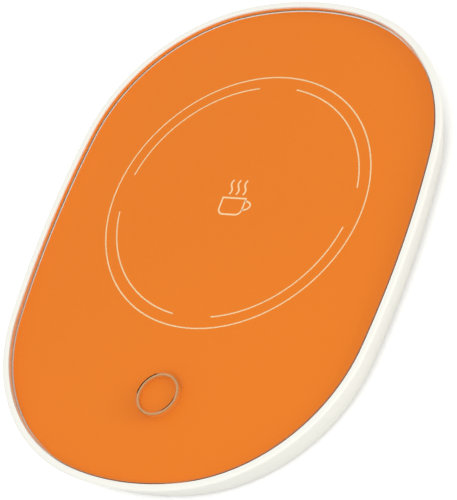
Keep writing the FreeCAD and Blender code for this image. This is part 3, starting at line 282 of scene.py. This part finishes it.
def slot_cutter(centre, width, height, radius, near, far):
    """A rounded bar along Y, for the recess and the slot of the inlet."""
    mesh = bmesh.new()
    ring = []
    for sx, sz, start in ((1, 1, 0), (-1, 1, 90), (-1, -1, 180), (1, -1, 270)):
        corner = (centre.x + sx * (width / 2 - radius), centre.z + sz * (height / 2 - radius))
        ring += arc_profile(corner, radius, start, start + 90, SLOT_STEPS)
    front = [mesh.verts.new((x, near, z)) for x, z in ring]
    back = [mesh.verts.new((x, far, z)) for x, z in ring]
    bridge(mesh, front, back)
    mesh.faces.new(front)
    mesh.faces.new(back[::-1])
    bmesh.ops.recalc_face_normals(mesh, faces=mesh.faces)
    return linked("cutter", mesh_data("cutter", mesh))


white_plastic = finish_of("white_moulding", WHITE_PLASTIC, 0.34, mottle=0.02, mottle_scale=35.0,
                          grain_scale=2600.0, bump=0.04, IOR=1.46)
shell = bmesh.new()
loops = [outline_loop(shell, offset, height) for offset, height in housing_profile()]
for low, high in zip(loops, loops[1:] + loops[:1]):
    bridge(shell, low, high)
housing = finished("housing_shell", shell, "body", [white_plastic])
inlet_low, inlet_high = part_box("inlet_shell")
inlet_centre = (inlet_low + inlet_high) / 2
inlet_size = inlet_high - inlet_low
far_y = housing_high.y + WALL
carve(housing, slot_cutter(inlet_centre, PLUG_WIDTH, PLUG_HEIGHT, PLUG_CORNER, inlet_high.y, far_y))
carve(housing, slot_cutter(inlet_centre, inlet_size.x + 2 * SLOT_GAP, inlet_size.z + 2 * SLOT_GAP,
                           SLOT_CORNER, inlet_low.y, far_y))
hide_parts("housing")


# Glass panel: a clear plate 3 mm thick with ground edges, a painted highlight along its near left edge
# and one drilled hole. Light from lamps passes through it, so the print behind it keeps its colour.
GLASS_ARRIS = 0.25 * MM
RING_SIDES = 96
# Painted highlight: the pale tint for the glass edge, and where along the near left it is mixed in.
EDGE_HIGHLIGHT_TINT = (0.86, 0.55, 0.34)
HIGHLIGHT_BEGIN, HIGHLIGHT_END, HIGHLIGHT_SHARE = 12.0 * MM, -45.0 * MM, 0.6
HIGHLIGHT_SIDE_BEGIN, HIGHLIGHT_SIDE_END = -0.3 * GLASS_WIDTH, -0.4 * GLASS_WIDTH
GLASS_IOR, GLASS_MIRROR = 1.5, 0.3
PANE_ROUGH, EDGE_ROUGH, CAP_ROUGH = 0.02, 0.03, 0.03
SMEAR_SCALE, SMEAR_LEAST, SMEAR_MOST = 55.0, 0.6, 1.6
PLATE_SHARP = 20
button_low, button_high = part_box("button_cap")
button_y = (button_low.y + button_high.y) / 2
ring_low, ring_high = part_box("light_ring")
RING_BORE_GAP, RING_WALL, RING_HOLE_GAP = 0.08 * MM, 0.5 * MM, 0.1 * MM
hole_radius = (button_high.x - button_low.x) / 2 + RING_BORE_GAP + RING_WALL + RING_HOLE_GAP


def hole_loop(mesh, radius, height, y):
    """One closed row of vertices round a centre on the middle line."""
    return [
        mesh.verts.new((radius * math.cos(a), y + radius * math.sin(a), height))
        for a in (2 * math.pi * i / RING_SIDES for i in range(RING_SIDES))
    ]


def fill_between(mesh, outer, inner):
    """A flat face with a hole, as triangles between two loops."""
    edges = []
    for loop in (outer, inner):
        for i, vert in enumerate(loop):
            after = loop[(i + 1) % len(loop)]
            edges.append(mesh.edges.get((vert, after)) or mesh.edges.new((vert, after)))
    bmesh.ops.triangle_fill(mesh, use_beauty=True, use_dissolve=False, edges=edges)


def holed_plate(mesh, levels, hole, y, edge_slot=0):
    """A plate with the body outline and a round hole: levels are offset and height, bottom first."""
    outer = [outline_loop(mesh, offset, height) for offset, height in levels]
    inner = [hole_loop(mesh, hole - offset + levels[0][0], height, y) for offset, height in levels]
    for rows in (outer, inner):
        for low, high in zip(rows, rows[1:]):
            bridge(mesh, low, high, edge_slot)
    fill_between(mesh, outer[0], inner[0])
    fill_between(mesh, outer[-1], inner[-1])


def clear_material(name, roughness):
    """Clear glass that lets lamps and diffuse light through to what is behind it."""
    material = bpy.data.materials.new(name)
    material.use_nodes = True
    nodes, links = material.node_tree.nodes, material.node_tree.links
    shader = nodes["Principled BSDF"]
    shader.inputs["Base Color"].default_value = (1, 1, 1, 1)
    shader.inputs["Transmission Weight"].default_value = 1.0
    shader.inputs["IOR"].default_value = GLASS_IOR
    shader.inputs["Specular IOR Level"].default_value = GLASS_MIRROR
    smear, spread = nodes.new("ShaderNodeTexNoise"), nodes.new("ShaderNodeMapRange")
    place = nodes.new("ShaderNodeTexCoord")
    smear.inputs["Scale"].default_value = SMEAR_SCALE
    spread.inputs["To Min"].default_value = roughness * SMEAR_LEAST
    spread.inputs["To Max"].default_value = roughness * SMEAR_MOST
    links.new(place.outputs["Object"], smear.inputs["Vector"])
    links.new(smear.outputs["Fac"], spread.inputs["Value"])
    links.new(spread.outputs["Result"], shader.inputs["Roughness"])
    path, either = nodes.new("ShaderNodeLightPath"), nodes.new("ShaderNodeMath")
    either.operation = "MAXIMUM"
    links.new(path.outputs["Is Shadow Ray"], either.inputs[0])
    links.new(path.outputs["Is Diffuse Ray"], either.inputs[1])
    through, mix = nodes.new("ShaderNodeBsdfTransparent"), nodes.new("ShaderNodeMixShader")
    links.new(either.outputs[0], mix.inputs[0])
    links.new(shader.outputs[0], mix.inputs[1])
    links.new(through.outputs[0], mix.inputs[2])
    links.new(mix.outputs[0], nodes["Material Output"].inputs["Surface"])
    return material


def ramp(material, axis, begin, finish, top):
    """A node value that goes from 0 to top between two places along an axis of the object."""
    nodes, links = material.node_tree.nodes, material.node_tree.links
    place, parts = nodes.new("ShaderNodeTexCoord"), nodes.new("ShaderNodeSeparateXYZ")
    change = nodes.new("ShaderNodeMapRange")
    change.interpolation_type = "SMOOTHSTEP"
    change.inputs["From Min"].default_value = begin
    change.inputs["From Max"].default_value = finish
    change.inputs["To Max"].default_value = top
    links.new(place.outputs["Object"], parts.inputs[0])
    links.new(parts.outputs[axis], change.inputs["Value"])
    return change.outputs["Result"]


def edge_material():
    """Polished glass edge, which mirrors the print, with a painted highlight: a pale matt tint mixed in
    towards the near left.
    """
    material = clear_material("glass_edge", EDGE_ROUGH)
    nodes, links = material.node_tree.nodes, material.node_tree.links
    painted_highlight, mix = nodes.new("ShaderNodeBsdfDiffuse"), nodes.new("ShaderNodeMixShader")
    share = nodes.new("ShaderNodeMath")
    painted_highlight.inputs["Color"].default_value = (*EDGE_HIGHLIGHT_TINT, 1)
    share.operation = "MULTIPLY"
    output = nodes["Material Output"].inputs["Surface"]
    polished = output.links[0].from_socket
    # Painted highlight: the pale tint is mixed in only towards the near left of the edge.
    links.new(ramp(material, "Y", HIGHLIGHT_BEGIN, HIGHLIGHT_END, HIGHLIGHT_SHARE), share.inputs[0])
    links.new(ramp(material, "X", HIGHLIGHT_SIDE_BEGIN, HIGHLIGHT_SIDE_END, 1.0), share.inputs[1])
    links.new(share.outputs[0], mix.inputs[0])
    links.new(polished, mix.inputs[1])
    links.new(painted_highlight.outputs[0], mix.inputs[2])
    links.new(mix.outputs[0], output)
    return material


clear_glass = clear_material("clear_glass", PANE_ROUGH)
glass_edge = edge_material()
pane = bmesh.new()
levels = [(0.0, glass_low.z), (0.0, glass_high.z - GLASS_ARRIS), (-GLASS_ARRIS, glass_high.z)]
holed_plate(pane, levels, hole_radius, button_y, edge_slot=1)
glass = finished("glass_pane", pane, "body", [clear_glass, glass_edge], sharp=PLATE_SHARP)
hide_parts("glass_panel")


# Print: one coat of orange ink on the back of the glass. The heating circle, its broken inner
# line and a small generic mug mark are thin pieces of pale peach ink laid over it.
INK_GAP = 0.02 * MM
INK_THICK, INK_MARGIN = 0.04 * MM, 0.35 * MM
LINE_THICK = 0.012 * MM
ORANGE = (0.86, 0.208, 0.004)
PEACH = (1.0, 0.70, 0.37)
CIRCLE_RADIUS, BROKEN_RADIUS, LINE_WIDTH = 40.0 * MM, 36.57 * MM, 0.42 * MM
BROKEN_GAP, ARC_POINTS = 19.0, 120
orange_ink = finish_of("orange_ink", ORANGE, 0.45, mottle=0.05, mottle_scale=14.0, bump=0.002)
orange_ink.node_tree.nodes["Principled BSDF"].inputs["Specular IOR Level"].default_value = 0.1
peach_ink = finish_of("peach_ink", PEACH, 0.5, mottle=0.08, mottle_scale=300.0, bump=0.01)
film = bmesh.new()
film_top = glass_low.z - INK_GAP
levels = [(-INK_MARGIN, film_top - INK_THICK), (-INK_MARGIN, film_top)]
holed_plate(film, levels, hole_radius, button_y)
ink = finished("orange_print", film, "body", [orange_ink])
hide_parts("print_film")


def input_socket(tree, name, kind, start):
    """Adds an input to a node tree and gives back its identifier."""
    socket = tree.interface.new_socket(name=name, in_out="INPUT", socket_type=kind)
    socket.default_value = start
    return socket.identifier


def broken_ring_tree(material):
    """Arc lines placed round a centre: count, gap, radius and line size are inputs."""
    tree = bpy.data.node_groups.new("broken_ring", "GeometryNodeTree")
    tree.interface.new_socket(name="Geometry", in_out="OUTPUT", socket_type="NodeSocketGeometry")
    ids = {
        "Radius": input_socket(tree, "Radius", "NodeSocketFloat", BROKEN_RADIUS),
        "Arcs": input_socket(tree, "Arcs", "NodeSocketInt", 4),
        "Sweep": input_socket(tree, "Sweep", "NodeSocketFloat", 90.0 - BROKEN_GAP),
        "Start": input_socket(tree, "Start", "NodeSocketFloat", BROKEN_GAP / 2),
        "Width": input_socket(tree, "Width", "NodeSocketFloat", LINE_WIDTH),
        "Thickness": input_socket(tree, "Thickness", "NodeSocketFloat", LINE_THICK),
        "Centre": input_socket(tree, "Centre", "NodeSocketVector", (0.0, 0.0, 0.0)),
    }
    nodes, links = tree.nodes, tree.links
    given, out = nodes.new("NodeGroupInput"), nodes.new("NodeGroupOutput")
    arc = nodes.new("GeometryNodeCurveArc")
    arc.mode = "RADIUS"
    arc.inputs["Resolution"].default_value = ARC_POINTS
    links.new(given.outputs["Radius"], arc.inputs["Radius"])
    for name, socket in (("Start", "Start Angle"), ("Sweep", "Sweep Angle")):
        turn = nodes.new("ShaderNodeMath")
        turn.operation = "RADIANS"
        links.new(given.outputs[name], turn.inputs[0])
        links.new(turn.outputs[0], arc.inputs[socket])
    section = nodes.new("GeometryNodeCurvePrimitiveQuadrilateral")
    links.new(given.outputs["Width"], section.inputs["Width"])
    links.new(given.outputs["Thickness"], section.inputs["Height"])
    sweep = nodes.new("GeometryNodeCurveToMesh")
    sweep.inputs["Fill Caps"].default_value = True
    links.new(arc.outputs["Curve"], sweep.inputs["Curve"])
    links.new(section.outputs["Curve"], sweep.inputs["Profile Curve"])
    marks = nodes.new("GeometryNodePoints")
    links.new(given.outputs["Arcs"], marks.inputs["Count"])
    index, angle = nodes.new("GeometryNodeInputIndex"), nodes.new("ShaderNodeMath")
    angle.operation = "DIVIDE"
    angle.inputs[0].default_value = 2 * math.pi
    links.new(given.outputs["Arcs"], angle.inputs[1])
    step = nodes.new("ShaderNodeMath")
    step.operation = "MULTIPLY"
    links.new(index.outputs[0], step.inputs[0])
    links.new(angle.outputs[0], step.inputs[1])
    turned = nodes.new("ShaderNodeCombineXYZ")
    links.new(step.outputs[0], turned.inputs["Z"])
    placed = nodes.new("GeometryNodeInstanceOnPoints")
    links.new(marks.outputs[0], placed.inputs["Points"])
    links.new(sweep.outputs["Mesh"], placed.inputs["Instance"])
    links.new(turned.outputs[0], placed.inputs["Rotation"])
    real, move = nodes.new("GeometryNodeRealizeInstances"), nodes.new("GeometryNodeTransform")
    links.new(placed.outputs[0], real.inputs[0])
    links.new(real.outputs[0], move.inputs["Geometry"])
    links.new(given.outputs["Centre"], move.inputs["Translation"])
    paint = nodes.new("GeometryNodeSetMaterial")
    paint.inputs["Material"].default_value = material
    links.new(move.outputs[0], paint.inputs["Geometry"])
    links.new(paint.outputs[0], out.inputs[0])
    return tree, ids


def baked(name, tree, ids, values, body):
    """Runs a geometry tree on an empty mesh and keeps its result as a plain piece."""
    carrier = linked(name + "_carrier", bpy.data.meshes.new(name + "_carrier"))
    modifier = carrier.modifiers.new("nodes", "NODES")
    modifier.node_group = tree
    for key, value in values.items():
        modifier[ids[key]] = value
    bpy.context.view_layer.update()
    data = bpy.data.meshes.new_from_object(carrier.evaluated_get(bpy.context.evaluated_depsgraph_get()))
    data.name = name
    bpy.data.objects.remove(carrier)
    piece = linked(name, data)
    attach(piece, body)
    return piece


ring_tree, ring_ids = broken_ring_tree(peach_ink)
line_centre = (0.0, heater_y, film_top + LINE_THICK / 2)
whole_ring = {"Radius": CIRCLE_RADIUS, "Arcs": 1, "Sweep": 360.0, "Start": 0.0, "Centre": line_centre}
broken_ring = {"Sweep": 90.0 - BROKEN_GAP, "Start": BROKEN_GAP / 2, "Centre": line_centre}
baked("heating_circle", ring_tree, ring_ids, whole_ring, "body")
baked("heating_circle_inner", ring_tree, ring_ids, broken_ring, "body")


def mitre(before, here, after):
    """The sideways vector at a point of a line, longer at a corner so that the line keeps its width."""
    first, second = (here - before).normalized(), (after - here).normalized()
    run = (first + second).normalized()
    return Vector((-run.y, run.x)) / max(run.dot(first), 0.5)


def line_mark(name, strokes, width, centre):
    """Printed strokes, each a row of points about a centre and closed or open, as one piece."""
    mark = bmesh.new()
    low, high = line_centre[2] - LINE_THICK / 2, line_centre[2] + LINE_THICK / 2
    for points, closed in strokes:
        points = [Vector(point) for point in points]
        rows = []
        last = len(points) - 1
        for i, here in enumerate(points):
            before = points[i - 1]
            after = points[i + 1 if i < last else 0]
            if not closed and i == 0:
                before = here * 2 - after
            if not closed and i == last:
                after = here * 2 - before
            side = mitre(before, here, after) * width / 2
            place = here + centre
            rows.append([
                mark.verts.new((place.x + s * side.x, place.y + s * side.y, z))
                for s, z in ((-1, low), (1, low), (1, high), (-1, high))
            ])
        for first, second in zip(rows, rows[1:] + rows[:1] if closed else rows[1:]):
            bridge(mark, first, second)
        if not closed:
            mark.faces.new(rows[0])
            mark.faces.new(rows[-1][::-1])
    return finished(name, mark, "body", [peach_ink])


# The mug mark: a cup with a handle and three waves of steam.
STEPS = 24
CUP_WIDTH, CUP_HEIGHT, CUP_CORNER = 7.4 * MM, 5.2 * MM, 1.8 * MM
HANDLE_REACH, HANDLE_HEIGHT = 2.1 * MM, 1.4 * MM
STEAM_HEIGHT, STEAM_STEP, STEAM_SWAY = 4.6 * MM, 2.2 * MM, 0.45 * MM
MARK_CENTRE, MARK_LINE = Vector((-0.6 * MM, heater_y + 0.6 * MM)), 0.5 * MM
HANDLE_DROP, STEAM_RISE = 0.42, 0.24
half_cup = CUP_WIDTH / 2
cup = [(-half_cup, 0.0)]
cup += arc_profile((-half_cup + CUP_CORNER, -CUP_HEIGHT + CUP_CORNER), CUP_CORNER, 180, 270, STEPS)
cup += arc_profile((half_cup - CUP_CORNER, -CUP_HEIGHT + CUP_CORNER), CUP_CORNER, 270, 360, STEPS)
cup += [(half_cup, 0.0)]
handle = [
    (half_cup + HANDLE_REACH * math.sin(a), -CUP_HEIGHT * HANDLE_DROP + HANDLE_HEIGHT * math.cos(a))
    for a in (math.pi * i / STEPS for i in range(STEPS + 1))
]


def steam_wave(middle):
    """One wave of steam above the cup, a single turn of a sine."""
    points = []
    for i in range(STEPS + 1):
        sway = STEAM_SWAY * math.sin(2 * math.pi * i / STEPS)
        points.append((middle + sway, (STEAM_RISE + i / STEPS) * STEAM_HEIGHT))
    return points


steam = [steam_wave(k * STEAM_STEP) for k in (-1, 0, 1)]
mug_strokes = [(cup, True), (handle, False)] + [(wave, False) for wave in steam]
line_mark("mug_mark", mug_strokes, MARK_LINE, MARK_CENTRE)


# Button: a clear cap with an orange back print, in a thin translucent ring that lights up. It
# sinks half a millimetre; its moulded carrier works the switch below.
CAP_ARRIS, RING_FLANGE = 0.2 * MM, 0.9 * MM
RING_TINT = (0.60, 0.31, 0.13)


def lathe(mesh, profile, y):
    """A closed section of radius and height turned about the button axis."""
    rows = [hole_loop(mesh, radius, height, y) for radius, height in profile]
    for low, high in zip(rows, rows[1:] + rows[:1]):
        bridge(mesh, low, high)


def turned_plug(mesh, profile, y):
    """A solid of revolution that is closed by flat discs at its two ends."""
    rows = [hole_loop(mesh, radius, height, y) for radius, height in profile]
    for low, high in zip(rows, rows[1:]):
        bridge(mesh, low, high)
    mesh.faces.new(rows[0])
    mesh.faces.new(rows[-1][::-1])


cap_radius = (button_high.x - button_low.x) / 2
button_clear = clear_material("button_clear", CAP_ROUGH)
cap = bmesh.new()
turned_plug(cap, [(cap_radius, button_low.z), (cap_radius, button_high.z - CAP_ARRIS),
                  (cap_radius - CAP_ARRIS, button_high.z)], button_y)
cap_piece = finished("button_cap_clear", cap, "button", [button_clear], sharp=PLATE_SHARP)
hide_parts("button_cap")
disc = bmesh.new()
disc_top = button_low.z - INK_GAP
turned_plug(disc, [(cap_radius, disc_top - INK_THICK), (cap_radius, disc_top)], button_y)
disc_piece = finished("button_print", disc, "button", [orange_ink])
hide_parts("button_film")
guide_plastic = finish_of("light_guide", RING_TINT, 0.35, mottle=0.1, mottle_scale=400.0,
                          Subsurface_Weight=0.2)
ring = bmesh.new()
bore = cap_radius + RING_BORE_GAP
collar = bore + RING_WALL
flange = (ring_high.x - ring_low.x) / 2
flange_top = ring_low.z + RING_FLANGE
ring_profile = [
    (bore, ring_low.z), (flange, ring_low.z), (flange, flange_top),
    (collar, flange_top), (collar, ring_high.z), (bore, ring_high.z),
]
lathe(ring, ring_profile, button_y)
ring_piece = finished("light_ring_guide", ring, "body", [guide_plastic])
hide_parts("light_ring")

# Everything that shows only from below, through the inlet or with the case open keeps its CAD
# solid and takes a finish of its own: mouldings, rubber, plated steel, film, felt and boards.
METAL = {"Metallic": 1.0}
BLACK = (0.02, 0.02, 0.021)
STEEL = (0.50, 0.50, 0.49)
FINISHES = [
    ("cover_moulding", (0.86, 0.84, 0.78), 0.55, 0.03, 0.25, {}, ["bottom_cover"]),
    ("carrier_moulding", (0.82, 0.80, 0.75), 0.5, 0.03, 0.1, {}, ["button_carrier"]),
    ("adhesive_sheet", (0.03, 0.03, 0.03), 0.8, 0.2, 0.3, {}, ["panel_adhesive"]),
    ("switch_case", BLACK, 0.45, 0.2, 0.1, {}, ["switch_body"]),
    ("switch_plunger", (0.05, 0.05, 0.05), 0.4, 0.2, 0.1, {}, ["switch_plunger"]),
    ("rolled_aluminium", (0.78, 0.78, 0.79), 0.35, 0.06, 0.2, METAL, ["heat_spreader"]),
    ("amber_film", (0.55, 0.20, 0.02), 0.25, 0.1, 0.05, {}, ["heater_film_front", "heater_film_back"]),
    ("etched_foil", (0.72, 0.48, 0.33), 0.35, 0.1, 0.1, METAL, ["heater_track"]),
    ("needled_felt", (0.62, 0.59, 0.50), 0.95, 0.25, 0.8, {}, ["insulation_pad"]),
    ("zinc_plated_tray", (0.60, 0.61, 0.62), 0.38, 0.15, 0.2, METAL, ["heater_tray"]),
    ("green_board", (0.01, 0.11, 0.035), 0.35, 0.15, 0.1, {}, ["main_board", "inlet_board"]),
    ("plated_inlet", (0.66, 0.66, 0.65), 0.25, 0.06, 0.05, METAL, ["inlet_shell"]),
    ("inlet_moulding", BLACK, 0.45, 0.2, 0.1, {}, ["inlet_tongue"]),
    ("lamp_resin", (0.80, 0.70, 0.36), 0.25, 0.05, 0.05, {}, ["status_leds"]),
    ("black_epoxy", BLACK, 0.6, 0.3, 0.3, {}, ["control_chip", "power_transistor"]),
    ("capacitor_ceramic", (0.30, 0.17, 0.08), 0.5, 0.15, 0.15, {}, ["board_capacitors"]),
    ("resistor_ceramic", BLACK, 0.45, 0.2, 0.15, {}, ["board_resistors", "inlet_resistors"]),
    ("white_silicone", (0.75, 0.74, 0.70), 0.5, 0.05, 0.1, {}, ["heater_leads"]),
    ("cutoff_can", (0.62, 0.62, 0.60), 0.35, 0.1, 0.1, METAL, ["thermal_cutoff"]),
    ("sensor_epoxy", BLACK, 0.25, 0.1, 0.05, {}, ["thermistor"]),
    ("enamelled_wire", (0.50, 0.28, 0.05), 0.35, 0.1, 0.05, {}, ["thermistor_leads"]),
    ("red_insulation", (0.42, 0.012, 0.008), 0.4, 0.1, 0.05, {}, ["supply_wire_red"]),
    ("black_insulation", BLACK, 0.4, 0.2, 0.05, {}, ["supply_wire_black"]),
    ("plated_screw", STEEL, 0.32, 0.1, 0.1, METAL,
     ["tray_screws", "board_screws", "inlet_screws", "cover_screws"]),
    ("foot_rubber", (0.028, 0.028, 0.028), 0.85, 0.3, 0.5, {},
     ["foot_front_left", "foot_front_right", "foot_back_left", "foot_back_right"]),
]
for name, colour, roughness, mottle, bump, plain, kept in FINISHES:
    dressed = finish_of(name, colour, roughness, mottle=mottle, bump=bump, **plain)
    for node in kept:
        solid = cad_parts[node]
        solid.data.materials.clear()
        solid.data.materials.append(dressed)


# Table and light: a white sweep that keeps the soft shadow, an even white surround and two soft
# lamps, at a level where each colour renders about as it is written.
FLOOR_SIZE = 6.0
PAPER_GLOW = 0.32
table_mesh = bmesh.new()
bmesh.ops.create_grid(table_mesh, x_segments=1, y_segments=1, size=FLOOR_SIZE)
table_data = mesh_data("table_top", table_mesh)
table_top = linked("table_top", table_data)
paper = bpy.data.materials.new("white_paper")
paper.use_nodes = True
paper_nodes, paper_links = paper.node_tree.nodes, paper.node_tree.links
paper_shader = paper_nodes["Principled BSDF"]
paper_shader.inputs["Base Color"].default_value = (0.9, 0.9, 0.9, 1)
paper_shader.inputs["Roughness"].default_value = 0.9
paper_shader.inputs["Specular IOR Level"].default_value = 0.0
paper_glow, paper_add = paper_nodes.new("ShaderNodeEmission"), paper_nodes.new("ShaderNodeAddShader")
paper_path = paper_nodes.new("ShaderNodeLightPath")
glow_share = paper_nodes.new("ShaderNodeMath")
glow_share.operation = "MULTIPLY"
glow_share.inputs[1].default_value = PAPER_GLOW
paper_links.new(paper_path.outputs["Is Camera Ray"], glow_share.inputs[0])
paper_links.new(glow_share.outputs[0], paper_glow.inputs["Strength"])
paper_links.new(paper_shader.outputs[0], paper_add.inputs[0])
paper_links.new(paper_glow.outputs[0], paper_add.inputs[1])
paper_links.new(paper_add.outputs[0], paper_nodes["Material Output"].inputs["Surface"])
table_data.materials.append(paper)

world = bpy.data.worlds.new("surround")
bpy.context.scene.world = world
world.use_nodes = True
world_nodes, world_links = world.node_tree.nodes, world.node_tree.links
backdrop = world_nodes["Background"]
backdrop.inputs["Color"].default_value = (1, 1, 1, 1)
SURROUND_LEVEL, MIRRORED_LEVEL = 0.62, 0.2
world_path = world_nodes.new("ShaderNodeLightPath")
mirrored = world_nodes.new("ShaderNodeMapRange")
mirrored.inputs["To Min"].default_value = SURROUND_LEVEL
mirrored.inputs["To Max"].default_value = MIRRORED_LEVEL
world_links.new(world_path.outputs["Is Glossy Ray"], mirrored.inputs["Value"])
seen = world_nodes.new("ShaderNodeMapRange")
seen.inputs["To Max"].default_value = 1.0
world_links.new(world_path.outputs["Is Camera Ray"], seen.inputs["Value"])
world_links.new(mirrored.outputs["Result"], seen.inputs["To Min"])
world_links.new(seen.outputs["Result"], backdrop.inputs["Strength"])


def soft_lamp(name, place, size, power, colour):
    """A round soft lamp that looks at the warmer and leaves no disc in its glass."""
    data = bpy.data.lights.new(name, "AREA")
    data.shape = "DISK"
    data.size = size
    data.energy = power
    data.color = colour
    lamp = linked(name, data)
    lamp.visible_glossy = False
    lamp.visible_transmission = False
    lamp.location = place
    lamp.rotation_mode = "QUATERNION"
    lamp.rotation_quaternion = Vector(place).to_track_quat("Z", "Y")


soft_lamp("key_lamp", (0.2, -0.5, 1.3), size=0.8, power=8.5, colour=(1.0, 1.0, 1.0))
soft_lamp("side_lamp", (1.1, 0.3, 0.5), size=0.7, power=3.0, colour=(1.0, 0.93, 0.82))

bpy.context.scene.view_settings.view_transform = "Standard"
